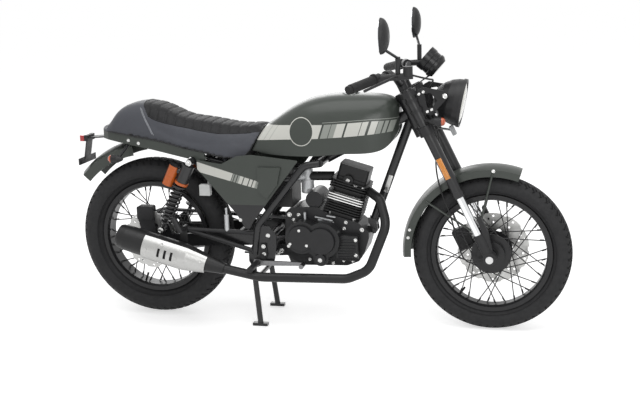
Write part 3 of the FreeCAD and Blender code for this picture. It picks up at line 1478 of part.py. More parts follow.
def main_frame():
    """Head tube, backbone, downtube, side tubes and the plates that carry the swingarm."""
    low_up = s.lower_yoke_place + s.lower_yoke_height + s.head_gap
    high_up = s.upper_yoke_place - s.head_gap
    head = rod("head_tube", steer(0, 0, low_up), steer(0, 0, high_up), "head_tube_radius")
    backbone = rod("backbone", steer(0, 0, backbone_up), place(s.backbone_x, 0, s.backbone_z),
                   "backbone_radius")
    downtube = rod("downtube", steer(0, 0, downtube_up), place(s.downtube_x, 0, s.downtube_z),
                   "downtube_radius")
    parts = [head, backbone, downtube]
    parts.append(cross_rod("seat_cross_tube", place(s.backbone_x, 0, s.backbone_z), s.frame_half_width,
                           "frame_tube_radius"))
    for side in SIDES:
        parts.append(bent_tube("side_tube_%d" % side, side_tube_points(side), s.frame_bend_radius,
                               "frame_tube_radius"))
        parts.append(pivot_plate("pivot_plate_%d" % side, side, 0))
    parts.append(cross_rod("engine_cross_tube", place(s.mount_x, 0, s.mount_z), s.frame_half_width,
                           "cross_tube_radius"))
    parts.append(cross_rod("swingarm_pivot", place(s.pivot_x, 0, s.pivot_z), s.frame_half_width + s.axle_head,
                           "pivot_bolt_radius"))
    for side in SIDES:
        start = place(s.pivot_x, side * (s.arm_inner + s.arm_thickness + s.clearance), s.pivot_z)
        parts.append(rod("pivot_washer_%d" % side, start, place(s.pivot_x, side * s.frame_half_width, s.pivot_z),
                         "axle_head_radius"))
    parts += front_mount()
    parts += side_stand_mount()
    body = fuse("frame_body", parts)
    bore = rod("head_bore", steer(0, 0, low_up - s.overrun), steer(0, 0, high_up + s.overrun),
               s.stem_radius + s.running_gap)
    keep(cut("main_frame", body, [bore]), "main_frame")


def pivot_plate(name, side, grow):
    """The plate that carries the swingarm, or with grow the space that it needs."""
    plate_shares = ((-0.9, 1.9), (0.15, 1.9), (1.3, 0.6), (1.3, -1.0), (0.9, -3.4), (-2.9, -3.8),
                    (-2.9, -2.0), (-1.6, 0.2))
    y = side * (s.frame_half_width - s.pivot_plate / 2 - grow)
    points = [place(s.pivot_x + s.arm_pivot_radius * u, y, s.pivot_z + s.arm_pivot_radius * w)
              for u, w in plate_shares]
    return plate(name, points, LEFT * side, s.pivot_plate + grow * 2, s.arm_pivot_radius / 2)


def front_mount():
    """Two plates on the downtube's foot and the bolt through the engine's front lug."""
    plate_shares = ((-1.2, 1.6), (-1.2, 2.8), (0.6, 2.4), (1.0, 0.0), (0.45, -0.9), (-0.3, -0.9), (-0.3, 0.3))
    unit = s.downtube_radius
    parts = []
    for side in SIDES:
        y = side * s.mount_half_width
        points = [place(s.front_mount_x + unit * u, y, s.front_mount_z + unit * w) for u, w in plate_shares]
        parts.append(plate("front_mount_plate_%d" % side, points, LEFT * side, "mount_plate"))
    bolt = place(s.front_mount_x, 0, s.front_mount_z)
    parts.append(cross_rod("front_mount_bolt", bolt, s.mount_half_width + s.mount_plate * 2, "mount_bolt_radius"))
    return parts


def side_stand_axis():
    """The side stand's pin leans, so that the leg swings down and outward."""
    lean = math.radians(s.side_stand_lean_angle)
    return V(0, math.cos(lean), math.sin(lean))


def side_stand_mount():
    """The plate and the leaning pin that carry the side stand."""
    pivot = place(s.side_stand_x, s.side_stand_y, s.side_stand_z)
    axis = side_stand_axis()
    y = s.frame_half_width - s.pivot_plate / 2
    plate_shares = ((-2.6, 2.4), (-0.4, 4.6), (1.0, 0.3), (0.5, -2.1), (-0.9, -2.1))
    unit = s.side_stand_radius * 2
    points = [place(s.side_stand_x + unit * u, y, s.side_stand_z + unit * w) for u, w in plate_shares]
    reach = (s.side_stand_y - s.frame_half_width) / axis.y
    near = pivot - axis * (s.side_stand_eye / 2 + s.clearance)
    return [plate("stand_plate", points, LEFT, "pivot_plate", s.side_stand_radius / 2),
            rod("stand_boss", pivot - axis * reach, near, s.side_stand_pin_radius * 1.5),
            rod("stand_pin_left", pivot - axis * reach, pivot + axis * s.side_stand_eye * 0.6,
                "side_stand_pin_radius")]


def subframe():
    parts = []
    for side in SIDES:
        parts.append(bent_tube("seat_rail_%d" % side, rail_points(side), s.frame_bend_radius, "rail_radius"))
        stud_start = place(s.shock_top_x, side * (s.rail_mid_y - s.rail_radius * 2), s.shock_top_z)
        stud_end = place(s.shock_top_x, side * (s.shock_y + s.shock_eye_width / 2 + s.shock_stud_radius),
                         s.shock_top_z)
        parts.append(rod("shock_stud_%d" % side, stud_start, stud_end, "shock_stud_radius"))
        boss_end = place(s.shock_top_x, side * (s.shock_y - s.shock_eye_width / 2 - s.clearance), s.shock_top_z)
        parts.append(rod("shock_boss_%d" % side, stud_start, boss_end, "shock_eye_radius"))
        parts.append(rod("strut_%d" % side, *strut_points(side), "strut_radius"))
    parts.append(cross_rod("tail_cross_tube", tail_tube_centre(), s.rail_rear_y, "cross_brace_radius"))
    brace_share = (s.cross_brace_x - s.rail_rear_x) / (s.rail_mid_x - s.rail_rear_x)
    brace = on_line(rail_points(1)[2], rail_points(1)[1], brace_share)
    parts.append(cross_rod("shock_cross_tube", V(brace.x, 0, brace.z), brace.y, "cross_brace_radius"))
    body = fuse("subframe_body", parts)
    keep(cut("subframe", body, side_tube_clearance("subframe_tube")), "subframe")


def swingarm():
    """Two tapered arms joined by the pivot tube and a brace, with lugs for the shocks."""
    pivot = place(s.pivot_x, 0, s.pivot_z)
    parts = [cross_rod("pivot_tube", pivot, s.arm_inner + s.arm_thickness, "pivot_tube_radius")]
    brace_share = (s.pivot_x - s.arm_brace_x) / s.pivot_x
    brace = on_line(pivot, rear_axle, brace_share)
    parts.append(cross_rod("arm_brace", brace, s.arm_inner + s.arm_thickness / 2, "arm_brace_radius"))
    reach = s.frame_half_width + s.overrun
    tools = [cross_rod("pivot_hole", pivot, reach, s.pivot_bolt_radius + s.clearance),
             cross_rod("rear_axle_hole", rear_axle, reach, s.axle_radius + s.clearance)]
    pivot_shares = ((0.5, 1.0), (1.0, 0.0), (0.5, -1.0))
    axle_shares = ((-0.6, -1.0), (-1.5, 0.0), (-0.6, 1.0))
    lug_shares = ((-1.0, 0.4), (0.0, 1.0), (1.0, 0.4), (2.0, -3.0), (-2.0, -3.0))
    for side in SIDES:
        y = side * s.arm_inner
        outline = [pivot + V(s.arm_pivot_radius * u, y, s.arm_pivot_radius * w) for u, w in pivot_shares]
        outline += [rear_axle + V(s.arm_axle_radius * u, y, s.arm_axle_radius * w) for u, w in axle_shares]
        parts.append(plate("arm_%d" % side, outline, LEFT * side, "arm_thickness", s.arm_axle_radius / 3))
        lug_centre = place(s.shock_low_x, y, s.shock_low_z)
        lug = [lug_centre + V(s.shock_lug_radius * u, 0, s.shock_lug_radius * w) for u, w in lug_shares]
        parts.append(plate("shock_lug_%d" % side, lug, LEFT * side, "arm_thickness", s.shock_stud_radius / 2))
        stud = place(s.shock_low_x, side * (s.shock_y + s.shock_eye_width / 2 + s.shock_stud_radius),
                     s.shock_low_z)
        parts.append(rod("low_stud_%d" % side, lug_centre, stud, "shock_stud_radius"))
        seat_end = place(s.shock_low_x, side * (s.shock_y - s.shock_eye_width / 2 - s.clearance), s.shock_low_z)
        parts.append(rod("low_boss_%d" % side, lug_centre, seat_end, "shock_stud_radius * 1.6"))
    keep(cut("swingarm", fuse("swingarm_body", parts), tools), "swingarm")
    half = s.arm_inner + s.arm_thickness + s.clearance
    axle_parts = [cross_rod("rear_axle_shaft", rear_axle, half, "axle_radius")]
    for side in SIDES:
        axle_parts.append(cylinder("rear_axle_nut_%d" % side, rear_axle + LEFT * side * half, LEFT * side,
                                   "axle_head", "axle_head_radius"))
    nose = s.disc_thickness + s.hub_nose + s.clearance
    right = s.rear_disc_place + nose
    left = s.chain_place - s.sprocket_thickness / 2 + nose
    wall = s.arm_inner - s.clearance
    axle_parts.append(rod("rear_spacer_right", rear_axle - LEFT * right, rear_axle - LEFT * wall,
                          "axle_head_radius"))
    axle_parts.append(rod("rear_spacer_left", rear_axle + LEFT * left, rear_axle + LEFT * wall,
                          "axle_head_radius"))
    keep(fuse("rear_axle", axle_parts), "rear_axle")


def shocks():
    dampers = []
    springs = []
    for side in SIDES:
        y = side * s.shock_y
        top = place(s.shock_top_x, y, s.shock_top_z)
        low = place(s.shock_low_x, y, s.shock_low_z)
        axis = (top - low).normalize()
        length = (top - low).Length
        half = s.shock_eye_width / 2
        name = "shock_%d" % side
        parts = [
            cross_rod(name + "_low_eye", low, half, "shock_eye_radius"),
            cross_rod(name + "_top_eye", top, half, "shock_eye_radius"),
            rod(name + "_rod", low, top, "shock_rod_radius"),
            rod(name + "_damper", low + axis * s.spring_low * 1.8, low + axis * s.spring_high, "damper_radius"),
            cylinder(name + "_low_seat", low + axis * (s.spring_low - s.spring_seat), axis, "spring_seat",
                     "spring_seat_radius"),
            rod(name + "_cap", low + axis * s.spring_high, top - axis * s.shock_eye_radius,
                "shock_cap_radius"),
            cylinder(name + "_collar", low + axis * s.spring_high, axis, "spring_seat * 2",
                     "spring_seat_radius"),
        ]
        back = V(-axis.z, 0, axis.x)
        can_top = low + axis * s.reservoir_high + back * s.reservoir_back
        parts.append(cylinder(name + "_reservoir", can_top - axis * s.reservoir_length, axis,
                              "reservoir_length", "reservoir_radius"))
        parts.append(cylinder(name + "_bridge", can_top - axis * s.shock_eye_radius, -back, "reservoir_back",
                              "shock_eye_radius * 0.8"))
        holes = [cross_rod(name + "_low_hole", low, s.overrun, s.shock_stud_radius + s.clearance),
                 cross_rod(name + "_top_hole", top, s.overrun, s.shock_stud_radius + s.clearance)]
        dampers.append(cut(name, fuse(name + "_body", parts), holes))
        springs.append(coil_spring(side, low, axis))
    keep(together("shock_bodies", dampers), "shock_bodies")
    keep(together("shock_springs", springs), "shock_springs")


def coil_spring(side, low, axis):
    """A coil between the seats, a wire's thickness clear of the damper."""
    name = "spring_%d" % side
    start = low + axis * (s.spring_low + s.spring_wire_radius + s.clearance)
    height = s.spring_high - s.spring_low - 2 * (s.spring_wire_radius + s.clearance)
    helix = doc.addObject("Part::Helix", name + "_helix")
    size(helix, "Pitch", "spring_pitch")
    size(helix, "Height", height)
    size(helix, "Radius", "spring_radius")
    helix.Placement = FreeCAD.Placement(start, turned(axis))
    ring = doc.addObject("Part::Circle", name + "_section")
    size(ring, "Radius", "spring_wire_radius")
    out = turned(axis).multVec(FORWARD)
    along = axis.cross(out)
    ring.Placement = FreeCAD.Placement(start + out * s.spring_radius, turned(along))
    item = doc.addObject("Part::Sweep", name)
    item.Sections = [ring]
    item.Spine = (helix, ["Edge1"])
    item.Solid = True
    item.Frenet = True
    return item


# Engine

def crankcase():
    """The closed engine mass, its top face square to the cylinder, with its mounting lugs."""
    y = -s.engine_half_width
    seat_rear = barrel(-s.barrel_rear, y, -s.clearance)
    seat_front = barrel(s.barrel_front, y, -s.clearance)
    top_shares = ((0.0, 0.4), (0.02, 0.92), (0.16, 1.0), (0.4, 1.0))
    low_shares = ((1.0, 0.6), (1.0, 0.5), (0.95, 0.26), (0.88, 0.1), (0.74, 0.02), (0.2, 0.0), (0.06, 0.12))

    def at(shares):
        return shared_points(s.engine_x, s.engine_length, s.engine_z, s.engine_height, y, shares)

    points = at(top_shares) + [seat_rear, seat_front] + at(low_shares)
    radii = [s.case_corner_radius] * 3 + [0, 0, 0, 0] + [s.case_corner_radius / 3] * 6
    parts = [plate("crankcase_block", points, LEFT, "engine_half_width * 2", radii)]
    parts.append(cross_rod("starter_motor", place(s.starter_x, 0, s.starter_z), s.starter_half_width,
                           "starter_radius"))
    lug_shares = ((-1.7, 0.0), (-0.8, 1.6), (5.0, 3.0), (7.5, -1.0), (-0.8, -1.6))
    unit = s.cross_tube_radius
    for side in SIDES:
        lug = [place(s.mount_x + unit * u, side * s.lug_inner, s.mount_z + unit * w) for u, w in lug_shares]
        parts.append(plate("rear_lug_%d" % side, lug, LEFT * side, "lug_thickness", unit / 2))
    front_lug_shares = ((0.65, 0.0), (0.35, 0.65), (-0.25, 0.76), (-1.7, 0.82), (-2.1, -1.0), (-0.2, -0.7),
                        (0.35, -0.6))
    unit = s.downtube_radius
    half = s.mount_half_width - s.clearance
    lug = [place(s.front_mount_x + unit * u, -half, s.front_mount_z + unit * w) for u, w in front_lug_shares]
    parts.append(plate("front_lug", lug, LEFT, half * 2))
    tools = [cross_rod("rear_lug_hole", place(s.mount_x, 0, s.mount_z), s.frame_half_width,
                       s.cross_tube_radius + s.clearance),
             cross_rod("front_lug_hole", place(s.front_mount_x, 0, s.front_mount_z), s.frame_half_width,
                       s.mount_bolt_radius + s.clearance)]
    keep(cut("crankcase", fuse("crankcase_body", parts), tools), "crankcase")


def engine_covers():
    """The clutch, crank and filter covers on the right, and the generator's on the left."""
    right_face = -s.engine_half_width - s.clearance
    outer_face = right_face - s.right_cover
    parts = []
    rows = (("clutch", s.clutch_x, s.clutch_z, s.clutch_radius, s.clutch_cap_radius),
            ("crank", s.crank_x, s.crank_z, s.crank_radius, s.crank_cap_radius),
            ("oil", s.oil_x, s.oil_z, s.oil_radius, s.oil_cap_radius))
    for name, x, z, radius, cap_radius in rows:
        start = place(x, right_face, z)
        parts.append(cylinder(name + "_cover", start, -LEFT, "right_cover", radius))
        cap_start = place(x, outer_face, z)
        cap_end = place(x, outer_face - s.right_cap, z)
        parts.append(cone(name + "_cap", cap_start, cap_end, cap_radius, cap_radius * 0.94))
    front = box("front_cover", place(s.front_cover_x, right_face - s.front_cover / 2, s.front_cover_z),
                s.front_cover_length, s.front_cover, s.front_cover_height)
    parts.append(front)
    right = fuse("right_engine_cover", parts)
    left_face = s.engine_half_width + s.clearance
    generator = cylinder("generator_cover", place(s.crank_x, left_face, s.crank_z), LEFT, "left_cover",
                         "crank_radius")
    sprocket = cylinder("sprocket_cover", place(s.drive_sprocket_x, s.sprocket_cover_inner, s.drive_sprocket_z),
                        LEFT, "sprocket_cover_outer - sprocket_cover_inner", "clutch_cap_radius")
    bridge = box("sprocket_bridge", place((s.crank_x + s.drive_sprocket_x) / 2, (s.sprocket_cover_inner + s.sprocket_cover_outer) / 2, s.drive_sprocket_z),
                 s.crank_x - s.drive_sprocket_x, s.sprocket_cover_outer - s.sprocket_cover_inner, s.clutch_cap_radius * 1.6)
    left = fuse("left_engine_cover", [generator, sprocket, bridge])
    keep(together("engine_covers", [right, left]), "engine_covers")


def fin(name, up, rear, front, half_width):
    """One rounded cooling fin square to the cylinder."""
    corners = [barrel(-rear, -half_width, up), barrel(front, -half_width, up), barrel(front, half_width, up),
               barrel(-rear, half_width, up)]
    return plate(name, corners, BARREL_UP, "fin_thickness", s.fin_corner)


def cylinder_and_head():
    core_rear = s.fin_rear - s.barrel_core * 1.4
    core_front = s.fin_front - s.barrel_core
    core_half = s.fin_half_width - s.barrel_core

    def core(name, low, high):
        corners = [barrel(-core_rear, -core_half, low), barrel(core_front, -core_half, low),
                   barrel(core_front, core_half, low), barrel(-core_rear, core_half, low)]
        return plate(name, corners, BARREL_UP, high - low, s.fin_corner)

    parts = [core("barrel_core", 0, s.barrel_height)]
    for i in range(int(s.barrel_fin_count)):
        up = s.barrel_core + i * s.fin_pitch
        parts.append(fin("barrel_fin_%d" % i, up, s.fin_rear, s.fin_front, s.fin_half_width))
    keep(fuse("cylinder_barrel", parts), "cylinder_barrel")
    low = s.barrel_height + s.clearance
    high = low + s.head_height
    parts = [core("head_core", low, high)]
    for i in range(int(s.head_fin_count)):
        up = low + s.fin_pitch / 2 + i * s.fin_pitch
        parts.append(fin("head_fin_%d" % i, up, s.fin_rear, s.fin_front, s.fin_half_width))
    lid = [barrel(-core_rear, -core_half * 0.9, high), barrel(core_front, -core_half * 0.9, high),
           barrel(core_front, core_half * 0.9, high), barrel(-core_rear, core_half * 0.9, high)]
    parts.append(plate("rocker_cover", lid, BARREL_UP, "cover_height", s.fin_corner))
    keep(fuse("cylinder_head", parts), "cylinder_head")


def carburettor():
    x, y, z = s.carb_x, s.carb_y, s.carb_z
    half = s.carb_half_height
    parts = [
        rod("carb_body", place(x, y, z - half), place(x, y, z + half), "carb_radius"),
        rod("carb_bowl", place(x, y, z - half - s.bowl_height), place(x, y, z - half / 2), "bowl_radius"),
        rod("carb_cap", place(x, y, z + half), place(x, y, z + half + s.carb_cap), "carb_cap_radius"),
    ]
    port_share = 0.75
    port_up = s.barrel_height + s.head_height * port_share
    parts.append(rod("manifold", place(x, y, z), barrel(-s.fin_rear + s.barrel_core, y, port_up),
                     "manifold_radius"))
    airbox_front = s.airbox_x + s.airbox_length + s.clearance
    parts.append(rod("inlet_boot", place(airbox_front, y, z), place(x, y, z), "boot_radius"))
    body = fuse("carburettor_body", parts)
    keep(faced("carburettor", body, barrel(-s.fin_rear - s.clearance, y, port_up), BARREL_FORWARD), "carburettor")
    centre = place(s.airbox_x + s.airbox_length / 2, 0, s.airbox_z + s.airbox_height / 2)
    parts = [box("air_box_case", centre, s.airbox_length, s.airbox_half_width * 2, s.airbox_height)]
    pin_share = 0.5
    pin = on_line(rail_points(1)[0], rail_points(1)[1], pin_share)
    parts.append(cross_rod("air_box_pin", V(pin.x, 0, pin.z - s.rail_radius / 2), pin.y, "mount_bolt_radius"))
    keep(cut("air_box", fuse("air_box_body", parts), rail_clearance("air_box_rail")), "air_box")


# Exhaust

def exhaust_points():
    """The pipe's route from the head, down beside the engine and back to the muffler."""
    route_shares = ((0.922, 0.4, 0.885), (0.97, 0.573, 0.62), (0.867, 0.709, 0.109), (0.739, 0.757, 0.009),
                    (0.211, 0.835, 0.003))
    port_share = 0.45
    port = barrel(s.fin_front - s.barrel_core, -s.carb_radius, s.barrel_height + s.head_height * port_share)
    route = [place(s.pipe_x + s.pipe_length * u, -s.pipe_depth * v, s.pipe_z + s.pipe_height * w)
             for u, v, w in route_shares]
    return [port] + route + [place(s.muffler_front_x, s.muffler_y, s.muffler_front_z)]


def exhaust():
    points = exhaust_points()
    rear = place(s.muffler_rear_x, s.muffler_y, s.muffler_rear_z)
    front = points[-1]
    axis = (rear - front).normalize()
    points[-1] = front + axis * s.pipe_radius / 3
    bend_shares = (0, 2.2, 5.0, 4.0, 5.0, 6.0, 0)
    pipe = bent_tube("exhaust_run", points, [s.pipe_radius * share for share in bend_shares], "pipe_radius")
    headed = faced("exhaust_headed", pipe, barrel(s.fin_front + s.clearance, -s.carb_radius, s.barrel_height),
                   -BARREL_FORWARD)
    keep(faced("exhaust_pipe", headed, front - axis * s.clearance, axis), "exhaust_pipe")
    length = (rear - front).Length
    out = V(axis.z, 0, -axis.x)
    body_shares = ((0.0, 0.0), (0.0, 0.44), (0.05, 0.5), (0.32, 0.92), (0.4, 1.0), (0.93, 1.0), (0.98, 0.94),
                   (1.0, 0.86))
    section = [(length * u, s.muffler_radius * w) for u, w in body_shares]
    section += [(length, s.outlet_radius), (length - s.outlet_depth, s.outlet_radius),
                (length - s.outlet_depth, 0)]
    can = turned_profile("muffler_can", front, axis, out, section)
    eye_y = -s.hanger_y - s.hanger_half_width - s.clearance
    eye = place(s.rear_peg_x, eye_y, s.rear_peg_z)
    tab_shares = ((1.2, 0.0), (0.7, 0.9), (-0.7, 0.9), (-1.2, 0.0), (-1.4, -4.4), (1.4, -4.4))
    tab = plate("muffler_tab", [eye + V(s.peg_radius * u, 0, s.peg_radius * w) for u, w in tab_shares], -LEFT,
                "bracket_thickness")
    tab_hole = rod("muffler_tab_hole", eye + LEFT * s.overrun, eye - LEFT * s.overrun,
                   s.mount_bolt_radius + s.clearance)
    bore = rod("muffler_bore_keep", rear, rear - axis * s.outlet_depth, "outlet_radius")
    keep(cut("muffler", fuse("muffler_body", [can, tab]), [tab_hole, bore]), "muffler")
    heat_shield(front, axis, out, length)


def heat_shield(front, axis, out, length):
    """A slotted sheet bent round the muffler's outer side, on two studs."""
    shield_shares = ((0.16, 0.66), (0.34, 0.97), (0.4, 1.0), (0.74, 1.0))
    gap = s.shield_gap
    outer = [(length * u, s.muffler_radius * w + gap + s.shield_thickness) for u, w in shield_shares]
    inner = [(length * u, s.muffler_radius * w + gap) for u, w in shield_shares]
    side_out = axis.cross(out)
    if side_out.y > 0:
        side_out = -side_out
    start_dir = FreeCAD.Rotation(axis, -s.shield_wrap_angle / 2).multVec(side_out)
    corners = [front + axis * along + start_dir * radius for along, radius in outer + inner[::-1]]
    skin = spun("heat_shield_skin", rounded(corners, 0), front, axis, s.shield_wrap_angle)
    slot_shares = (0.46, 0.52, 0.58)
    slot_height_share = 0.7
    tools = []
    for i, share in enumerate(slot_shares):
        spot = front + axis * length * share + side_out * (s.muffler_radius + gap)
        tools.append(box("shield_slot_%d" % i, spot, s.shield_gap * 2, s.overrun,
                         s.muffler_radius * slot_height_share, axis))
    parts = [cut("heat_shield_shell", skin, tools)]
    for i, share in enumerate((0.42, 0.7)):
        spot = front + axis * length * share
        parts.append(rod("shield_stud_%d" % i, spot + side_out * (s.muffler_radius + s.clearance),
                         spot + side_out * (s.muffler_radius + gap + s.shield_thickness * 2),
                         "shock_stud_radius"))
    keep(fuse("heat_shield", parts), "heat_shield")


def seat_sections(name, drop):
    """The seat's cross-sections, each lowered by drop."""
    sections = []
    crown_share = 0.12
    for i, (u, w, low, high) in enumerate(SEAT_SHARES):
        x = seat_x + s.seat_length * u
        z = s.seat_low_z + s.seat_rise * low
        top = max(z + s.seat_gap * 2, s.seat_low_z + s.seat_height * high + s.seat_rise * crown_share)
        sections.append(crowned_section("%s_%d" % (name, i), x, s.seat_half_width * w, z - drop, top - drop, 3.4))
    return sections


def rail_spot(x, side):
    """The point on a seat rail's axis at a place along the machine."""
    rear, mid = rail_points(side)[2], rail_points(side)[1]
    return on_line(rear, mid, (x - s.rail_rear_x) / (s.rail_mid_x - s.rail_rear_x))


# Tank, seat and bodywork

def crowned_section(name, x, half_width, low, high, squareness):
    """A cross-section at one station: a flat floor under a crowned top."""
    count = 14
    points = []
    for i in range(count + 1):
        turn = math.pi * i / count
        across = math.copysign(abs(math.cos(turn)) ** (2 / squareness), math.cos(turn))
        rise = abs(math.sin(turn)) ** (2 / squareness)
        if i in (0, count):
            rise = 0.0
        points.append(place(x, half_width * across, low + (high - low) * rise))
    curve = Part.BSplineCurve()
    curve.interpolate(points)
    floor = Part.LineSegment(points[-1], points[0]).toShape()
    return drawn(name, [curve.toShape(), floor])


def seam_block(name, gap, keep_front):
    """A block on one side of the sloping seam between the seat and the tank."""
    low = place(seam_low_x, 0, s.seam_low_z)
    high = place(seam_high_x, 0, s.seam_high_z)
    along = (high - low).normalize()
    ahead = V(along.z, 0, -along.x)
    reach = s.tank_length * 2
    sign = 1 if keep_front else -1
    centre = low + ahead * sign * (reach / 2 - gap)
    return box(name, centre, reach, reach, reach, ahead)


TANK_SHARES = (
    (0.0, 0.72, 0.05, 0.36), (0.12, 0.82, 0.03, 0.5), (0.2, 0.89, 0.01, 0.64), (0.33, 0.96, 0.0, 0.84),
    (0.48, 1.0, 0.01, 0.96), (0.66, 1.0, 0.05, 1.0), (0.84, 0.92, 0.07, 0.985), (0.93, 0.74, 0.15, 0.95),
    (0.98, 0.52, 0.3, 0.88), (1.0, 0.3, 0.42, 0.8),
)


def tank():
    sections = []
    squareness = 2.9
    for i, (u, w, low, high) in enumerate(TANK_SHARES):
        x = tank_x + s.tank_length * u
        sections.append(crowned_section("tank_section_%d" % i, x, s.tank_half_width * w,
                                        s.tank_z + s.tank_height * low, s.tank_z + s.tank_height * high,
                                        squareness))
    shell = lofted("tank_loft", sections)
    start = steer(0, 0, backbone_up)
    end = place(s.backbone_x, 0, s.backbone_z)
    along = (start - end).normalize()
    roof = V(-along.z, 0, along.x) * (s.backbone_radius + s.clearance)
    w = s.tank_tunnel_half_width
    far = along * s.overrun * 4
    points = [end - far + roof, start + far + roof, start + far - UP * s.tank_height * 2,
              end - far - UP * s.tank_height * 2]
    tunnel = plate("tank_tunnel", [p - LEFT * w for p in points], LEFT, w * 2)
    cap_hole = rod("cap_hole", place(s.cap_x, 0, s.tank_z + s.tank_height - s.cap_height * 3),
                   place(s.cap_x, 0, s.tank_z + s.tank_height + s.overrun), s.cap_radius + s.clearance)
    seam = seam_block("tank_seam", s.seat_gap / 2, False)
    cross = cross_rod("tank_cross_clearance", place(s.backbone_x, 0, s.backbone_z), s.frame_half_width * 2,
                      s.frame_tube_radius + s.clearance * 3)
    sweep = math.hypot(s.yoke_web_rear, s.yoke_web_rear / 2) + s.steering_gap
    head_gap = rod("tank_head_gap", steer(0, 0, s.lower_yoke_place), steer(0, 0, s.upper_yoke_place),
                   s.head_tube_radius + s.steering_gap / 2)
    yoke_gap = cylinder("tank_yoke_gap", steer(0, 0, s.upper_yoke_place - s.steering_gap), STEER_UP,
                        s.tank_height, sweep)
    keep(cut("fuel_tank", shell, [tunnel, cap_hole, seam, cross, head_gap, yoke_gap]), "fuel_tank")
    cap_low = place(s.cap_x, 0, s.tank_z + s.tank_height - s.cap_height * 3 + s.clearance)
    cap_high = place(s.cap_x, 0, s.tank_z + s.tank_height + s.cap_height)
    keep(rod("fuel_cap", cap_low, cap_high, "cap_radius"), "fuel_cap")


SEAT_SHARES = (
    (0.0, 0.3, 0.97, 0.03), (0.02, 0.52, 0.965, 0.16), (0.06, 0.68, 0.94, 0.42), (0.14, 0.79, 0.86, 0.72), (0.22, 0.87, 0.78, 0.89),
    (0.29, 0.91, 0.7, 0.91), (0.36, 0.94, 0.63, 0.86), (0.46, 0.98, 0.5, 0.72), (0.62, 1.0, 0.28, 0.6),
    (0.78, 0.98, 0.06, 0.52), (0.88, 0.9, 0.0, 0.5), (1.0, 0.78, 0.1, 0.52),
)


def seat_low(u):
    """The height of the seat's lower edge at a share of its length."""
    for first, second in zip(SEAT_SHARES, SEAT_SHARES[1:]):
        if first[0] <= u <= second[0]:
            t = (u - first[0]) / (second[0] - first[0])
            return s.seat_low_z + s.seat_rise * (first[2] + (second[2] - first[2]) * t)
    return s.seat_low_z


def seat():
    pad = lofted("seat_loft", seat_sections("seat_section", 0))
    shell = cut("seat_pad", pad, [seam_block("seat_seam", s.seat_gap / 2, True)])
    feet = []
    for side in SIDES:
        for i, x in enumerate((s.seat_foot_front_x, s.seat_foot_rear_x)):
            spot = rail_spot(x, side)
            top = seat_low((x - seat_x) / s.seat_length) + s.seat_gap * 3
            feet.append(rod("seat_foot_%d_%d" % (side, i), spot, V(spot.x, spot.y, top), "seat_foot_radius"))
    body = fuse("seat_body", [shell] + feet)
    keep(cut("seat", body, rail_clearance("seat_rail_gap")), "seat")


def tail_band():
    """The painted band under the seat, a wall that wraps round the tail."""
    side_shares = ((0.0, 0.3), (0.02, 0.52), (0.06, 0.68), (0.14, 0.79), (0.22, 0.87), (0.36, 0.94), (0.5, 0.985),
                   (0.66, 0.995))
    inset = s.band_thickness / 2

    def ring(name, depth):
        left = []
        for i, (u, w) in enumerate(side_shares):
            back = depth if i == 0 else 0
            left.append(place(seat_x + s.seat_length * u + back, s.seat_half_width * w - depth, 0))
        points = [V(p.x, -p.y, 0) for p in left] + left[::-1]
        return plate(name, points, UP, s.tank_z * 2)

    wall = cut("band_wall", ring("band_outer", inset), [ring("band_inner", inset + s.band_thickness)])
    half = s.seat_half_width * 2
    upper = [place(seat_x + s.seat_length * u, -half, seat_low(u) + inset * 3) for u, w in side_shares]
    lower = [p - UP * (s.band_depth + inset * 3) for p in upper]
    tail_depth_share = 0.5
    lower[0] = upper[0] - UP * s.band_depth * tail_depth_share
    slice_plate = plate("band_slice", upper + lower[::-1], LEFT, half * 2)
    strip = common("band_strip", wall, slice_plate)
    stubs = []
    stub_places = (s.seat_foot_front_x - s.seat_foot_radius * 6, s.seat_foot_rear_x + s.seat_foot_radius * 3)
    for side in SIDES:
        for i, x in enumerate(stub_places):
            spot = rail_spot(x, side)
            u = (x - seat_x) / s.seat_length
            wide = band_width(side_shares, u) * s.seat_half_width - inset * 2
            end = V(spot.x, side * wide, seat_low(u) - s.band_depth / 2)
            stubs.append(rod("band_stub_%d_%d" % (side, i), spot, end, "mount_bolt_radius"))
    trim = lofted("band_trim", seat_sections("band_trim_section", s.clearance * 2))
    body = fuse("band_body", [strip] + stubs)
    tools = [trim] + rail_clearance("band_rail_gap")
    tools.append(cross_rod("band_shock_gap", place(s.shock_top_x, 0, s.shock_top_z), s.shock_y,
                           s.shock_eye_radius + s.seat_gap))
    for side in SIDES:
        tools.append(rod("band_lamp_gap_%d" % side, *rear_lamp_stem(side), s.lamp_stem_radius + s.clearance))
    keep(cut("tail_band", body, tools), "tail_band")


def band_width(rows, u):
    """The half width's share at a share of the length, between two rows of a table."""
    for (first, first_width), (second, second_width) in zip(rows, rows[1:]):
        if first <= u <= second:
            return first_width + (second_width - first_width) * (u - first) / (second - first)
    return rows[-1][1]


SCOOP_SHARES = ((0.62, 0.52), (0.7, 0.42), (0.8, 0.6), (0.84, 0.84), (0.62, 0.84))

SIDE_COVER_SHARES = (
    (0.04, 0.92), (0.04, 0.8), (0.4, 0.2), (0.48, 0.0), (0.52, 0.0), (0.56, 0.1), (1.0, 0.93), (0.56, 1.0), (0.42, 0.98), (0.27, 0.87),
)


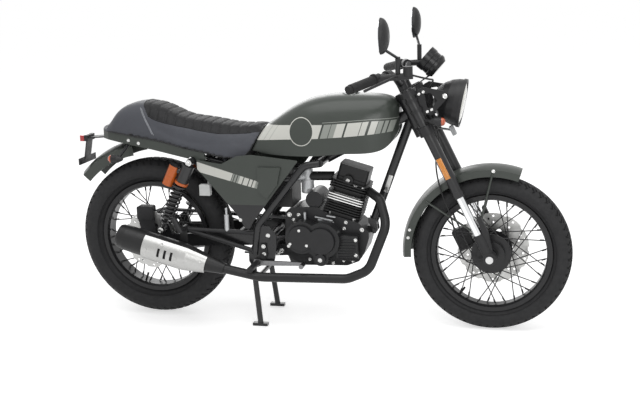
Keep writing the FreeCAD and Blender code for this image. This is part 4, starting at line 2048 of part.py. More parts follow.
def side_covers():
    covers = []
    for side, name in ((-1, "right_cover"), (1, "left_cover")):
        y = side * s.side_cover_y
        points = shared_points(s.side_cover_x, s.side_cover_length, s.side_cover_z, s.side_cover_height, y,
                               SIDE_COVER_SHARES)
        skin = plate(name + "_skin", points, LEFT * side, "side_cover_thickness", s.peg_radius / 3)
        scoop_points = shared_points(s.side_cover_x, s.side_cover_length, s.side_cover_z, s.side_cover_height,
                                     y, SCOOP_SHARES)
        scoop = plate(name + "_scoop", scoop_points, LEFT * side, "scoop_depth", s.peg_radius / 3)
        rail = rail_spot(s.rail_mid_x - s.frame_bend_radius, side)
        strut_share = 0.7
        strut = on_line(*strut_points(side), strut_share)
        pins = []
        for i, spot in enumerate((rail, strut)):
            outer = V(spot.x, side * (s.side_cover_y + s.side_cover_thickness / 2), spot.z)
            pins.append(rod("%s_pin_%d" % (name, i), spot, outer, "mount_bolt_radius"))
        body = fuse(name + "_body", [skin, scoop] + pins)
        tools = rail_clearance(name + "_rail_gap") + strut_clearance(name + "_strut_gap")
        covers.append(cut(name, body, tools))
    keep(together("side_covers", covers), "side_covers")


# Footrests, pedals and stands

def footrests():
    pegs = []
    face = s.frame_half_width + s.pivot_plate / 2 + s.clearance
    bracket_shares = ((0.8, 6.3), (3.1, 6.3), (3.3, 2.4), (1.7, -1.0), (-1.1, -1.3), (-1.1, 1.0), (0.7, 1.8))
    bolt_shares = ((1.95, 4.9), (1.85, 2.2))
    unit = s.peg_radius
    for side in SIDES:
        spot = place(s.peg_x, side * face, s.peg_z)
        outer = place(s.peg_x, side * (s.peg_y + s.peg_spindle), s.peg_z)
        points = [spot + V(unit * u, 0, unit * w) for u, w in bracket_shares]
        parts = [plate("peg_bracket_%d" % side, points, LEFT * side, "peg_bracket", unit / 3),
                 rod("peg_spindle_%d" % side, spot, outer, "peg_spindle_radius"),
                 cylinder("peg_rubber_%d" % side, outer, LEFT * side, "peg_length", "peg_radius")]
        for i, (u, w) in enumerate(bolt_shares):
            head = spot + V(unit * u, side * s.peg_bracket, unit * w)
            parts.append(cylinder("peg_bolt_%d_%d" % (side, i), head - LEFT * side * s.clearance, LEFT * side,
                                  "axle_head", "peg_spindle_radius"))
        pegs.append(fuse("peg_%d" % side, parts))
    for side in SIDES:
        pegs.append(passenger_hanger(side))
    keep(together("footrests", pegs), "footrests")


def passenger_hanger(side):
    """The passenger's footrest, folded up, on two tubes from the side tube to a hub."""
    hub = place(s.rear_peg_x, side * s.hanger_y, s.rear_peg_z)
    hub_out = hub + LEFT * side * s.hanger_half_width
    tube_end, tube_start = side_tube_points(side)[3], side_tube_points(side)[2]
    boss_start = hub_out + LEFT * side * (s.bracket_thickness + s.clearance * 2)
    boss_end = boss_start + LEFT * side * s.peg_radius
    knee = place(s.rear_peg_x, side * s.rear_peg_y, s.rear_peg_z + s.peg_radius)
    lean_share = 0.45
    lean = V(-lean_share, 0, math.sqrt(1 - lean_share ** 2))
    parts = [rod("hanger_hub_%d" % side, hub - LEFT * side * s.hanger_half_width, hub_out, "hanger_radius"),
             rod("hanger_high_%d" % side, hub, on_line(tube_start, tube_end, s.hanger_high_share), "strut_radius"),
             rod("hanger_low_%d" % side, hub, on_line(tube_start, tube_end, s.hanger_low_share), "strut_radius"),
             rod("hanger_bolt_%d" % side, hub, boss_start, "mount_bolt_radius"),
             rod("hanger_boss_%d" % side, boss_start, boss_end, "peg_spindle_radius"),
             rod("rear_peg_arm_%d" % side, on_line(boss_start, boss_end, 1 / 2), knee, "mount_bolt_radius"),
             rod("rear_peg_%d" % side, knee - lean * s.peg_radius, knee + lean * s.rear_peg_length, "peg_radius")]
    tools = side_tube_clearance("hanger_gap_%d" % side)
    tools.append(pivot_plate("hanger_plate_gap_%d" % side, side, s.clearance))
    return cut("hanger_%d" % side, fuse("hanger_body_%d" % side, parts), tools)


def pedals():
    """The brake pedal turns on the right footrest's spindle, the gear lever on the engine's shaft."""
    unit = s.peg_radius
    arm_shares = ((-1.4, 0.0), (-0.9, 1.2), (0.9, 1.3), (1.6, 0.9), (15.0, 0.7), (15.0, -0.4), (1.6, -0.8),
                  (0.0, -1.4), (-0.9, -1.1))
    low = -s.peg_y - s.clearance
    spot = place(s.peg_x, low, s.peg_z)
    arm = plate("brake_arm", [spot + V(unit * u, 0, unit * w) for u, w in arm_shares], -LEFT, "pedal_thickness")
    toe = place(s.peg_x + s.pedal_length, low, s.peg_z + unit * 0.15)
    pad = cylinder("brake_toe", toe, -LEFT, "pedal_toe", "strut_radius")
    link = box("brake_toe_link", toe - LEFT * s.pedal_thickness / 2 - FORWARD * unit, unit * 2, s.pedal_thickness,
               unit)
    hole = cylinder("brake_arm_hole", spot + LEFT * s.overrun, -LEFT, s.overrun * 2,
                    s.peg_spindle_radius + s.clearance)
    brake = cut("brake_pedal", fuse("brake_pedal_body", [arm, pad, link]), [hole])
    start = place(s.gear_shaft_x, s.engine_half_width + s.clearance, s.gear_shaft_z)
    lever_start = place(s.gear_shaft_x, s.gear_lever_y, s.gear_shaft_z)
    lever_end = lever_start + FORWARD * s.gear_lever_length
    lever = box("gear_arm", on_line(lever_start, lever_end, 1 / 2) + LEFT * s.pedal_thickness / 2,
                s.gear_lever_length + unit, s.pedal_thickness, unit)
    parts = [rod("gear_shaft", start, lever_start + LEFT * s.pedal_thickness, "gear_shaft_radius"), lever,
             cylinder("gear_toe", lever_end, LEFT, "pedal_toe", "gear_shaft_radius")]
    keep(together("pedals", [brake, fuse("gear_lever", parts)]), "pedals")


def chain():
    """The chain's side plates and rollers, and the engine sprocket that they run on."""
    rear_radius = s.chain_pitch * s.sprocket_teeth_count / (2 * math.pi)
    front_radius = s.chain_pitch * s.drive_sprocket_teeth_count / (2 * math.pi)
    front = place(s.drive_sprocket_x, 0, s.drive_sprocket_z)
    half_share = 0.45
    gap_share = 0.36
    half = s.chain_pitch * half_share
    gap = s.chain_pitch * gap_share
    thick = s.bracket_thickness / 2
    parts = []
    for side in SIDES:
        low = s.chain_place + (gap if side > 0 else -gap - thick)
        outer = belt("chain_outer_%d" % side, front, front_radius + half, rear_radius + half, low, thick)
        inner = belt("chain_inner_%d" % side, front, front_radius - half, rear_radius - half, low - s.overrun,
                     thick + s.overrun * 2)
        parts.append(cut("chain_plate_%d" % side, outer, [inner]))
    reach = gap + thick / 2
    for i, spot in enumerate(roller_spots(front, front_radius, rear_radius)):
        centre = spot + LEFT * s.chain_place
        parts.append(cross_rod("chain_roller_%d" % i, centre, reach, "roller_radius"))
    loop = fuse("chain_loop", parts)
    face = s.chain_place - s.sprocket_thickness / 2
    wheel = toothed("drive_sprocket_wheel", front, face, s.drive_sprocket_teeth_count)
    shaft = cylinder("output_shaft", front + LEFT * (s.engine_half_width + s.clearance), LEFT,
                     s.chain_place - s.engine_half_width + s.peg_radius / 2, "axle_radius")
    keep(together("drive_chain", [loop, fuse("drive_sprocket", [wheel, shaft])]), "drive_chain")


def roller_spots(front, front_radius, rear_radius):
    """Where rollers show: in the engine sprocket's teeth and along the two straight runs."""
    step = 360 / s.drive_sprocket_teeth_count
    spots = [around(front, front_radius, i * step) for i in (-3, -1, 1, 3)]
    run = front - rear_axle
    slope = math.atan2(run.z, run.x)
    lean = math.acos((rear_radius - front_radius) / run.Length)
    run_shares = [0.14 + 0.08 * i for i in range(10)]
    for turn in (slope + lean, slope - lean):
        out = V(math.cos(turn), 0, math.sin(turn))
        start = rear_axle + out * rear_radius
        end = front + out * front_radius
        spots += [on_line(start, end, share) for share in run_shares]
    return spots


def belt(name, front, front_radius, rear_radius, low_y, thickness):
    """A closed loop round two circles, with straight runs that touch both."""
    run = front - rear_axle
    distance = run.Length
    slope = math.atan2(run.z, run.x)
    lean = math.acos((rear_radius - front_radius) / distance)
    edges = []

    def rim_point(centre, radius, turn):
        return centre + LEFT * low_y + V(math.cos(turn), 0, math.sin(turn)) * radius

    high = slope + lean
    low = slope - lean
    edges.append(Part.LineSegment(rim_point(rear_axle, rear_radius, high), rim_point(front, front_radius, high)).toShape())
    edges.append(Part.Arc(rim_point(front, front_radius, high), rim_point(front, front_radius, slope),
                          rim_point(front, front_radius, low)).toShape())
    edges.append(Part.LineSegment(rim_point(front, front_radius, low), rim_point(rear_axle, rear_radius, low)).toShape())
    edges.append(Part.Arc(rim_point(rear_axle, rear_radius, low), rim_point(rear_axle, rear_radius, slope + math.pi),
                          rim_point(rear_axle, rear_radius, high)).toShape())
    item = doc.addObject("Part::Extrusion", name)
    item.Base = drawn(name + "_outline", edges)
    item.DirMode = "Custom"
    item.Dir = LEFT
    size(item, "LengthFwd", thickness)
    item.Solid = True
    return item


def centre_stand():
    pivot = place(s.stand_pivot_x, 0, s.stand_pivot_z)
    half = s.frame_half_width - s.pivot_plate / 2 - s.clearance
    parts = [cross_rod("stand_pin", pivot, half, "stand_tube_radius")]
    for side in SIDES:
        top = pivot + LEFT * side * s.stand_half_width
        foot = place(s.stand_foot_x, side * s.stand_foot_spread, s.stand_foot_height)
        parts.append(rod("stand_leg_%d" % side, top, foot, "stand_tube_radius"))
        pad = box("stand_foot_%d" % side, place(s.stand_foot_x, side * s.stand_foot_spread, s.stand_foot_height / 2),
                  s.stand_foot_length, s.stand_tube_radius * 2, s.stand_foot_height)
        parts.append(pad)
    tie_share = 0.3
    tie = on_line(pivot, place(s.stand_foot_x, 0, 0), tie_share)
    parts.append(cross_rod("stand_tie", tie, s.stand_half_width, "stand_tube_radius * 0.8"))
    keep(fuse("centre_stand", parts), "centre_stand")


def side_stand():
    pivot = place(s.side_stand_x, s.side_stand_y, s.side_stand_z)
    axis = side_stand_axis()
    end = pivot - FORWARD * s.side_stand_length
    eye = rod("side_stand_hub", pivot - axis * s.side_stand_eye / 2, pivot + axis * s.side_stand_eye / 2,
              "side_stand_radius * 1.5")
    leg = rod("side_stand_leg", pivot, end, "side_stand_radius")
    foot = box("side_stand_foot", end, s.side_stand_radius * 4, s.side_stand_radius * 2.4,
               s.side_stand_radius * 0.8)
    hole = rod("side_stand_bore", pivot - axis * s.overrun, pivot + axis * s.overrun,
               s.side_stand_pin_radius + s.running_gap)
    keep(cut("side_stand", fuse("side_stand_body", [eye, leg, foot]), [hole]), "side_stand")


def faced(name, item, point, direction):
    """The item, ended by the flat face through a point, square to a direction."""
    reach = s.overrun * 3
    block = box(name + "_face", point + direction * (reach / 2), reach, reach, reach, direction)
    return cut(name, item, [block])


def build():
    wheels()
    fork()
    yokes()
    handlebar()
    hand_controls()
    headlight()
    headlight_bracket()
    gauge()
    mirrors()
    lamps()
    fenders()
    brakes()
    rear_brake_cylinder()
    main_frame()
    subframe()
    swingarm()
    shocks()
    crankcase()
    engine_covers()
    cylinder_and_head()
    carburettor()
    exhaust()
    tank()
    seat()
    tail_band()
    side_covers()
    footrests()
    pedals()
    chain()
    centre_stand()
    side_stand()


def check_and_export():
    doc.recompute()
    os.makedirs("parts", exist_ok=True)
    faults = []
    for item in doc.Objects:
        if "Invalid" in item.State or "Error" in item.State:
            faults.append(item.Name)
    for item in nodes:
        if item.Shape.isNull() or not item.Shape.isValid():
            faults.append(item.Label + " shape")
    if faults:
        raise RuntimeError("these objects have faults: " + ", ".join(faults))
    for item in nodes:
        item.Shape.exportStep("parts/" + item.Label + ".step")
    box_all = nodes[0].Shape.BoundBox
    for item in nodes:
        box_all.add(item.Shape.BoundBox)
    print(len(nodes), "pieces", box_all)


build()
check_and_export()
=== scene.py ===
"""The looks of a cafe racer motorcycle, built around its frame of solid parts."""

import math

import bpy
from mathutils import Matrix, Vector

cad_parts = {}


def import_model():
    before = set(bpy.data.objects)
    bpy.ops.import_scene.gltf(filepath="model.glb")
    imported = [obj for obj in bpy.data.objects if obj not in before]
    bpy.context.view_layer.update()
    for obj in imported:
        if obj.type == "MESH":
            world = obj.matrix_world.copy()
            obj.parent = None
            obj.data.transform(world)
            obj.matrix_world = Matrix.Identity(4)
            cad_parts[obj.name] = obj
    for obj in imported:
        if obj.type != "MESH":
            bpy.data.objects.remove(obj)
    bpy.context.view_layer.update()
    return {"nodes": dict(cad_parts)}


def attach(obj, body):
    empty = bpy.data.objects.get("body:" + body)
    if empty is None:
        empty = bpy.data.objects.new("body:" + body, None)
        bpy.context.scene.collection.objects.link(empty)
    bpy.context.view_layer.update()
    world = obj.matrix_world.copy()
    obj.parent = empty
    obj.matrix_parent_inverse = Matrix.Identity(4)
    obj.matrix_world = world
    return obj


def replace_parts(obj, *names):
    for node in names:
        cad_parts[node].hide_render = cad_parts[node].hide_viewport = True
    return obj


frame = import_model()
nodes = frame["nodes"]

X = Vector((1, 0, 0))
Y = Vector((0, 1, 0))
Z = Vector((0, 0, 1))
RIGHT = -Y
SIDES = (("right", -1), ("left", 1))
AXLE_TO_MIDDLE = 665
STEERING_LEAN = math.radians(26)


def spot(x, y, z):
    """A point in metres, from millimetres ahead of the rear axle, left of the middle and above the floor."""
    return Vector((x - AXLE_TO_MIDDLE, y, z)) / 1000


REAR_AXLE = spot(0, 0, 326)
FRONT_AXLE = spot(1350, 0, 300)


# Finishes


class Surface:
    """A material's node tree, with short ways to add the nodes that a finish needs."""

    def __init__(self, name, roughness, metallic=0.0, coat=0.0, shine=0.3):
        self.material = bpy.data.materials.new(name)
        self.material.use_nodes = True
        self.tree = self.material.node_tree
        self.shader = self.tree.nodes["Principled BSDF"]
        self.shader.inputs["Roughness"].default_value = roughness
        self.shader.inputs["Metallic"].default_value = metallic
        self.shader.inputs["Coat Weight"].default_value = coat
        self.shader.inputs["Specular IOR Level"].default_value = 0.5 if metallic else shine
        self.place = self.node("ShaderNodeTexCoord").outputs["Object"]

    def node(self, kind, **settings):
        made = self.tree.nodes.new(kind)
        for key, value in settings.items():
            setattr(made, key, value)
        return made

    def feed(self, socket, value):
        if isinstance(value, bpy.types.NodeSocket):
            self.tree.links.new(value, socket)
        else:
            socket.default_value = value

    def stretched(self, scale, turn=(0, 0, 0), shift=(0, 0, 0)):
        """The place on the piece, stretched so that a pattern runs along one way."""
        mapping = self.node("ShaderNodeMapping")
        mapping.inputs["Scale"].default_value = scale
        mapping.inputs["Rotation"].default_value = turn
        mapping.inputs["Location"].default_value = shift
        self.feed(mapping.inputs["Vector"], self.place)
        return mapping.outputs["Vector"]

    def noise(self, size, detail=3.0, rough=0.5, where=None):
        """A cloudy pattern from 0 to 1, whose blots are about size metres across."""
        noise = self.node("ShaderNodeTexNoise")
        noise.inputs["Scale"].default_value = 1 / size
        noise.inputs["Detail"].default_value = detail
        noise.inputs["Roughness"].default_value = rough
        self.feed(noise.inputs["Vector"], where or self.place)
        return noise.outputs["Fac"]

    def cells(self, size, feature="F1", output="Distance"):
        cell = self.node("ShaderNodeTexVoronoi", feature=feature)
        cell.inputs["Scale"].default_value = 1 / size
        self.feed(cell.inputs["Vector"], self.place)
        return cell.outputs[output]

    def sum(self, operation, a, b=0.0, c=0.0, clamp=False):
        math_node = self.node("ShaderNodeMath", operation=operation, use_clamp=clamp)
        for socket, value in zip(math_node.inputs, (a, b, c)):
            self.feed(socket, value)
        return math_node.outputs[0]

    def span(self, value, from_low, from_high, to_low, to_high):
        """The value, moved from one range into another and kept inside it."""
        span = self.node("ShaderNodeMapRange")
        for socket, number in zip(span.inputs, (value, from_low, from_high, to_low, to_high)):
            self.feed(socket, number)
        return span.outputs[0]

    def length(self, a, b):
        """The length of a line that reaches a one way and b across it."""
        return self.sum("SQRT", self.sum("ADD", self.sum("MULTIPLY", a, a), self.sum("MULTIPLY", b, b)))

    def mix(self, share, a, b):
        """Colour a, or colour b where share is 1."""
        mix = self.node("ShaderNodeMix", data_type="RGBA")
        self.feed(mix.inputs[0], share)
        self.feed(mix.inputs[6], a)
        self.feed(mix.inputs[7], b)
        return mix.outputs[2]

    def axis(self, letter, source=None):
        parts = self.node("ShaderNodeSeparateXYZ")
        self.feed(parts.inputs[0], source or self.place)
        return parts.outputs[letter]

    def colour(self, value):
        self.feed(self.shader.inputs["Base Color"], value)

    def bump(self, height, depth, strength=1.0):
        """Lets the light show a height pattern that is depth metres deep."""
        bump = self.node("ShaderNodeBump")
        bump.inputs["Strength"].default_value = strength
        bump.inputs["Distance"].default_value = depth
        self.feed(bump.inputs["Height"], height)
        self.feed(self.shader.inputs["Normal"], bump.outputs["Normal"])

    def uneven(self, colour, spread, size, gloss_spread):
        """Makes the colour and the gloss vary a little in cloudy blots."""
        pattern = self.noise(size)
        low = tuple(c * (1 - spread) for c in colour) + (1,)
        high = tuple(min(1, c * (1 + spread)) for c in colour) + (1,)
        self.colour(self.mix(pattern, low, high))
        base = self.shader.inputs["Roughness"].default_value
        rough = self.span(self.noise(size / 3), 0.3, 0.7, max(0.02, base - gloss_spread), base + gloss_spread)
        self.feed(self.shader.inputs["Roughness"], rough)


def paint(name, colour, roughness, coat=0.0, spread=0.08, orange_peel=0.00004):
    """Sprayed paint: even, with a faint orange peel."""
    surface = Surface(name, roughness, coat=coat)
    surface.shader.inputs["Coat Roughness"].default_value = 0.12
    surface.uneven(colour, spread, 0.06, 0.04)
    surface.bump(surface.noise(0.004), orange_peel, 0.6)
    return surface


def metal(name, colour, roughness, spread=0.1, brushed=(1, 1, 1), grain=0.00003):
    """Bare metal, with fine scratches along the long way of brushed."""
    surface = Surface(name, roughness, metallic=1.0)
    surface.uneven(colour, spread, 0.03, roughness * 0.25)
    surface.bump(surface.noise(0.003, detail=4, where=surface.stretched(brushed)), grain, 0.5)
    return surface


def cast(name, colour, roughness, metallic=0.0, grain=0.00025, grain_size=0.0016):
    """Cast or sand blasted metal under a coat of heat paint: a fine grain."""
    surface = Surface(name, roughness, metallic=metallic)
    surface.uneven(colour, 0.18, 0.025, 0.06)
    surface.bump(surface.noise(grain_size, detail=2), grain, 0.5)
    return surface


def moulded(name, colour, roughness, grain=0.0001, grain_size=0.0012):
    """Moulded plastic or rubber, with a fine leather-like grain."""
    surface = Surface(name, roughness)
    surface.uneven(colour, 0.12, 0.03, 0.05)
    surface.bump(surface.cells(grain_size), grain, 0.5)
    return surface


def lens(name, colour, roughness=0.08):
    """A coloured lens with fine ribs behind its face."""
    surface = Surface(name, roughness, coat=1.0)
    surface.uneven(colour, 0.15, 0.012, 0.03)
    surface.shader.inputs["Transmission Weight"].default_value = 0.25
    ribs = surface.sum("SINE", surface.sum("MULTIPLY", surface.axis("Z"), 2200))
    surface.bump(ribs, 0.0003, 0.5)
    return surface


def outline_height(surface, low_x, high_x, stations):
    """How high a drawn line is along X: its height at each of the stations, and straight between them."""
    ramp = surface.node("ShaderNodeValToRGB")
    points = ramp.color_ramp.elements
    while len(points) < len(stations):
        points.new(0.5)
    for point, (x, z) in zip(points, stations):
        point.position = (x - low_x) / (high_x - low_x)
        height = z / 1000
        point.color = (height, height, height, 1)
    low = spot(low_x, 0, 0).x
    high = spot(high_x, 0, 0).x
    surface.feed(ramp.inputs[0], surface.span(surface.axis("X"), low, high, 0, 1))
    return surface.axis("X", ramp.outputs["Color"])


def blocks(surface, slant, middle_z, low_x, high_x, starts):
    """Slanted blocks of colour along X. Each start is a place and the colour from there on."""
    ramp = surface.node("ShaderNodeValToRGB")
    ramp.color_ramp.interpolation = "CONSTANT"
    points = ramp.color_ramp.elements
    while len(points) < len(starts):
        points.new(0.5)
    for point, (x, colour) in zip(points, starts):
        point.position = (x - low_x) / (high_x - low_x)
        point.color = tuple(colour) + (1,)
    up = surface.sum("SUBTRACT", surface.axis("Z"), middle_z / 1000)
    along = surface.sum("SUBTRACT", surface.axis("X"), surface.sum("MULTIPLY", up, slant))
    surface.feed(ramp.inputs[0], surface.span(along, spot(low_x, 0, 0).x, spot(high_x, 0, 0).x, 0, 1))
    return ramp.outputs["Color"]


OLIVE = (0.043, 0.05, 0.043)
STRIPE_PALE = (0.56, 0.56, 0.52)
STRIPE_GREY = (0.27, 0.285, 0.26)


def between(surface, low, high):
    """1 where the piece's Z is between two heights."""
    z = surface.axis("Z")
    return surface.sum("MULTIPLY", surface.sum("GREATER_THAN", z, low), surface.sum("LESS_THAN", z, high))


def olive_paint(name):
    surface = paint(name, OLIVE, 0.34, coat=0.25, spread=0.07)
    surface.shader.inputs["Coat Roughness"].default_value = 0.2
    return surface


def tank_paint():
    """The tank's olive paint with its pale band, the slanted blocks ahead of it and the plain ring."""
    surface = olive_paint("tank_olive_with_stripes")
    low_x, high_x = 380, 1010
    top = outline_height(surface, low_x, high_x, (
        (380, 789), (600, 798.5), (661, 800.5), (724, 801.5), (785, 805.5), (857, 811), (916, 815),
        (1010, 815)))
    bottom = outline_height(surface, low_x, high_x, (
        (380, 734), (467, 737.5), (561, 743.5), (642, 747.3), (712, 750), (816, 757.7), (927, 768),
        (1010, 776)))
    pale, grey, bare = STRIPE_PALE, STRIPE_GREY, OLIVE
    middle_z = 776
    band = blocks(surface, 0.32, middle_z, low_x, high_x, (
        (380, pale), (718.5, bare), (726, grey), (753, bare), (756.5, grey), (776, pale), (806, bare),
        (814, pale), (865, bare), (868.5, pale), (890, bare), (899.5, pale), (925, bare), (928.5, grey),
        (944, bare), (950, grey), (961, bare), (967.5, grey), (986, bare)))
    off, on = (0, 0, 0), (1, 1, 1)
    slants = blocks(surface, 0.65, middle_z, low_x, high_x, (
        (380, off), (511, on), (517, off), (533, on), (539, off)))
    band = surface.mix(surface.sum("MULTIPLY", slants, 0.35), band, STRIPE_GREY + (1,))
    coat = surface.shader.inputs["Base Color"].links[0].from_socket
    painted = surface.mix(between(surface, bottom, top), coat, band)
    line_gap, line_width, line_start = 0.006, 0.0022, spot(728, 0, 0).x
    thin = surface.sum("ADD", top, line_gap)
    thin_line = between(surface, thin, surface.sum("ADD", thin, line_width))
    ahead = surface.sum("GREATER_THAN", surface.axis("X"), line_start)
    painted = surface.mix(surface.sum("MULTIPLY", thin_line, ahead), painted, STRIPE_GREY + (1,))
    ring_middle, half_long, half_high, ring_inside = spot(645, 0, 775), 0.048, 0.054, 0.94
    across = surface.sum("DIVIDE", surface.sum("SUBTRACT", surface.axis("X"), ring_middle.x), half_long)
    upright = surface.sum("DIVIDE", surface.sum("SUBTRACT", surface.axis("Z"), ring_middle.z), half_high)
    out = surface.length(across, upright)
    painted = surface.mix(surface.sum("LESS_THAN", out, 1.0), painted, STRIPE_PALE + (1,))
    painted = surface.mix(surface.sum("LESS_THAN", out, ring_inside), painted, coat)
    surface.colour(painted)
    return surface


def cover_paint():
    """The side covers' olive paint over black, with a stripe that falls ahead and breaks up into blocks."""
    surface = olive_paint("cover_olive_with_stripes")
    low_x, high_x = 190, 540
    top = outline_height(surface, low_x, high_x, ((190, 671.3), (238, 656.3), (483, 582.3), (540, 565)))
    bottom = outline_height(surface, low_x, high_x, ((190, 631.5), (277, 608), (480, 553.8), (540, 538)))
    pale, grey, bare = STRIPE_PALE, STRIPE_GREY, OLIVE
    band = blocks(surface, 0.4, 590, low_x, high_x, (
        (190, pale), (366, bare), (369, grey), (374, bare), (378, grey), (386, bare), (390, grey),
        (399, pale), (414, bare), (418, pale), (438, bare), (442, pale), (455, bare), (459, pale),
        (470, grey), (482, bare)))
    coat = surface.shader.inputs["Base Color"].links[0].from_socket
    stripe_end, black_top, black = spot(481, 0, 0).x, 0.492, (0.015, 0.015, 0.016, 1)
    inside = surface.sum("MULTIPLY", between(surface, bottom, top),
                         surface.sum("LESS_THAN", surface.axis("X"), stripe_end))
    painted = surface.mix(inside, coat, band)
    surface.colour(surface.mix(surface.sum("LESS_THAN", surface.axis("Z"), black_top), painted, black))
    return surface


def tyre_rubber():
    surface = Surface("tyre_rubber", 0.72)
    surface.uneven((0.022, 0.022, 0.023), 0.25, 0.04, 0.08)
    fine = surface.noise(0.0012, detail=4)
    surface.bump(surface.sum("ADD", fine, surface.sum("MULTIPLY", surface.noise(0.012), 0.6)), 0.0002, 0.5)
    return surface


def seat_vinyl():
    """Slate grey upholstery vinyl: a leather grain, with shallow creases."""
    surface = Surface("slate_vinyl", 0.55)
    surface.shader.inputs["Sheen Weight"].default_value = 0.15
    surface.shader.inputs["Sheen Roughness"].default_value = 0.5
    surface.uneven((0.062, 0.065, 0.076), 0.14, 0.05, 0.06)
    grain = surface.cells(0.0021, feature="DISTANCE_TO_EDGE")
    creases = surface.noise(0.03, detail=2)
    surface.bump(surface.sum("ADD", grain, surface.sum("MULTIPLY", creases, 0.8)), 0.0004, 0.5)
    return surface


def grip_rubber():
    """Grip rubber with fine rings round the bar."""
    surface = moulded("grip_rubber", (0.017, 0.017, 0.0175), 0.62)
    surface.bump(surface.sum("SINE", surface.sum("MULTIPLY", surface.axis("Y"), 1500)), 0.0008, 0.6)
    return surface


def brushed_ring(name, colour, roughness, axle):
    """Steel that was turned or ground: fine rings round an axle along Y."""
    surface = Surface(name, roughness, metallic=1.0)
    surface.uneven(colour, 0.1, 0.02, 0.05)
    x = surface.sum("SUBTRACT", surface.axis("X"), axle.x)
    z = surface.sum("SUBTRACT", surface.axis("Z"), axle.z)
    surface.bump(surface.sum("SINE", surface.sum("MULTIPLY", surface.length(x, z), 9000)), 0.00003, 0.4)
    return surface


def headlight_glass():
    """Fluted glass with upright flutes, whose creamy colour is a painted reflection of the bright reflector
    behind it.
    """
    surface = Surface("headlight_glass", 0.08, coat=1.0, shine=0.6)
    # Painted reflection: the creamy base colour stands in for the bright reflector seen through the glass.
    surface.uneven((0.8, 0.77, 0.66), 0.1, 0.03, 0.03)
    surface.shader.inputs["Transmission Weight"].default_value = 0.2
    flutes = surface.sum("SINE", surface.sum("MULTIPLY", surface.axis("Y"), 700))
    surface.bump(flutes, 0.001, 0.6)
    return surface


def mirror_silver():
    surface = Surface("mirror_silver", 0.04, metallic=1.0)
    surface.uneven((0.82, 0.84, 0.86), 0.02, 0.05, 0.015)
    surface.bump(surface.noise(0.05), 0.00002, 0.3)
    return surface


MATERIALS = {
    "olive": olive_paint("olive_paint"),
    "tank": tank_paint(),
    "covers": cover_paint(),
    "frame": paint("frame_black", (0.014, 0.014, 0.015), 0.3, coat=0.3),
    "black": paint("satin_black", (0.018, 0.018, 0.019), 0.4),
    "fork": paint("fork_black", (0.02, 0.02, 0.021), 0.32, coat=0.2),
    "wheel": paint("wheel_black", (0.014, 0.014, 0.015), 0.36, coat=0.12),
    "cast_black": cast("cast_black", (0.022, 0.022, 0.023), 0.5),
    "engine": cast("engine_heat_paint", (0.013, 0.013, 0.0135), 0.42, grain=0.0002),
    "case": cast("crankcase_paint", (0.017, 0.017, 0.018), 0.36),
    "polished_fin": metal("polished_fin_edge", (0.78, 0.78, 0.77), 0.2, brushed=(1, 8, 8)),
    "alloy": cast("cast_alloy", (0.52, 0.53, 0.54), 0.42, metallic=0.35, grain=0.00015),
    "steel": metal("turned_steel", (0.58, 0.58, 0.58), 0.26),
    "bolt": metal("plated_bolt", (0.66, 0.66, 0.65), 0.24),
    "dark_steel": metal("oiled_steel", (0.2, 0.2, 0.205), 0.36),
    "chrome": metal("chrome_plate", (0.8, 0.81, 0.82), 0.06, spread=0.02, grain=0.000008),
    "shield": metal("brushed_shield", (0.46, 0.46, 0.45), 0.34, brushed=(1, 6, 6)),
    "front_disc": brushed_ring("front_disc_steel", (0.48, 0.48, 0.47), 0.34, FRONT_AXLE),
    "rear_disc": brushed_ring("rear_disc_steel", (0.48, 0.48, 0.47), 0.34, REAR_AXLE),
    "sprocket": brushed_ring("sprocket_steel", (0.33, 0.33, 0.33), 0.4, REAR_AXLE),
    "spoke": paint("spoke_black", (0.016, 0.016, 0.017), 0.35, coat=0.2),
    "exhaust": cast("exhaust_heat_black", (0.016, 0.016, 0.0165), 0.38, grain=0.00008),
    "orange": paint("orange_lacquer", (0.5, 0.105, 0.014), 0.3, coat=0.4),
    "spring": paint("spring_black", (0.017, 0.017, 0.018), 0.3, coat=0.4),
    "tyre": tyre_rubber(),
    "grip": grip_rubber(),
    "plastic": moulded("black_plastic", (0.021, 0.021, 0.022), 0.42),
    "gauge": moulded("gauge_case", (0.013, 0.013, 0.014), 0.22, grain=0.00004),
    "box": moulded("air_box_plastic", (0.016, 0.016, 0.016), 0.5),
    "milky": moulded("milky_plastic", (0.55, 0.56, 0.55), 0.3, grain=0.00005),
    "vinyl": seat_vinyl(),
    "seat_top": moulded("black_ribbed_vinyl", (0.0085, 0.0085, 0.0095), 0.6, grain=0.0002, grain_size=0.0018),
    "amber": lens("amber_reflector", (0.86, 0.3, 0.012)),
    "orange_lens": lens("orange_lens", (0.66, 0.1, 0.015)),
    "thread": moulded("seat_thread", (0.27, 0.28, 0.3), 0.6, grain=0.0001),
    "dial_white": paint("dial_white", (0.75, 0.75, 0.72), 0.4),
    "red": lens("red_lens", (0.55, 0.012, 0.012)),
    "mirror": mirror_silver(),
    "headlight": headlight_glass(),
    "horn": moulded("horn_grey", (0.42, 0.43, 0.44), 0.4),
    "hose": moulded("hose_rubber", (0.015, 0.015, 0.0155), 0.45, grain=0.00004),
}

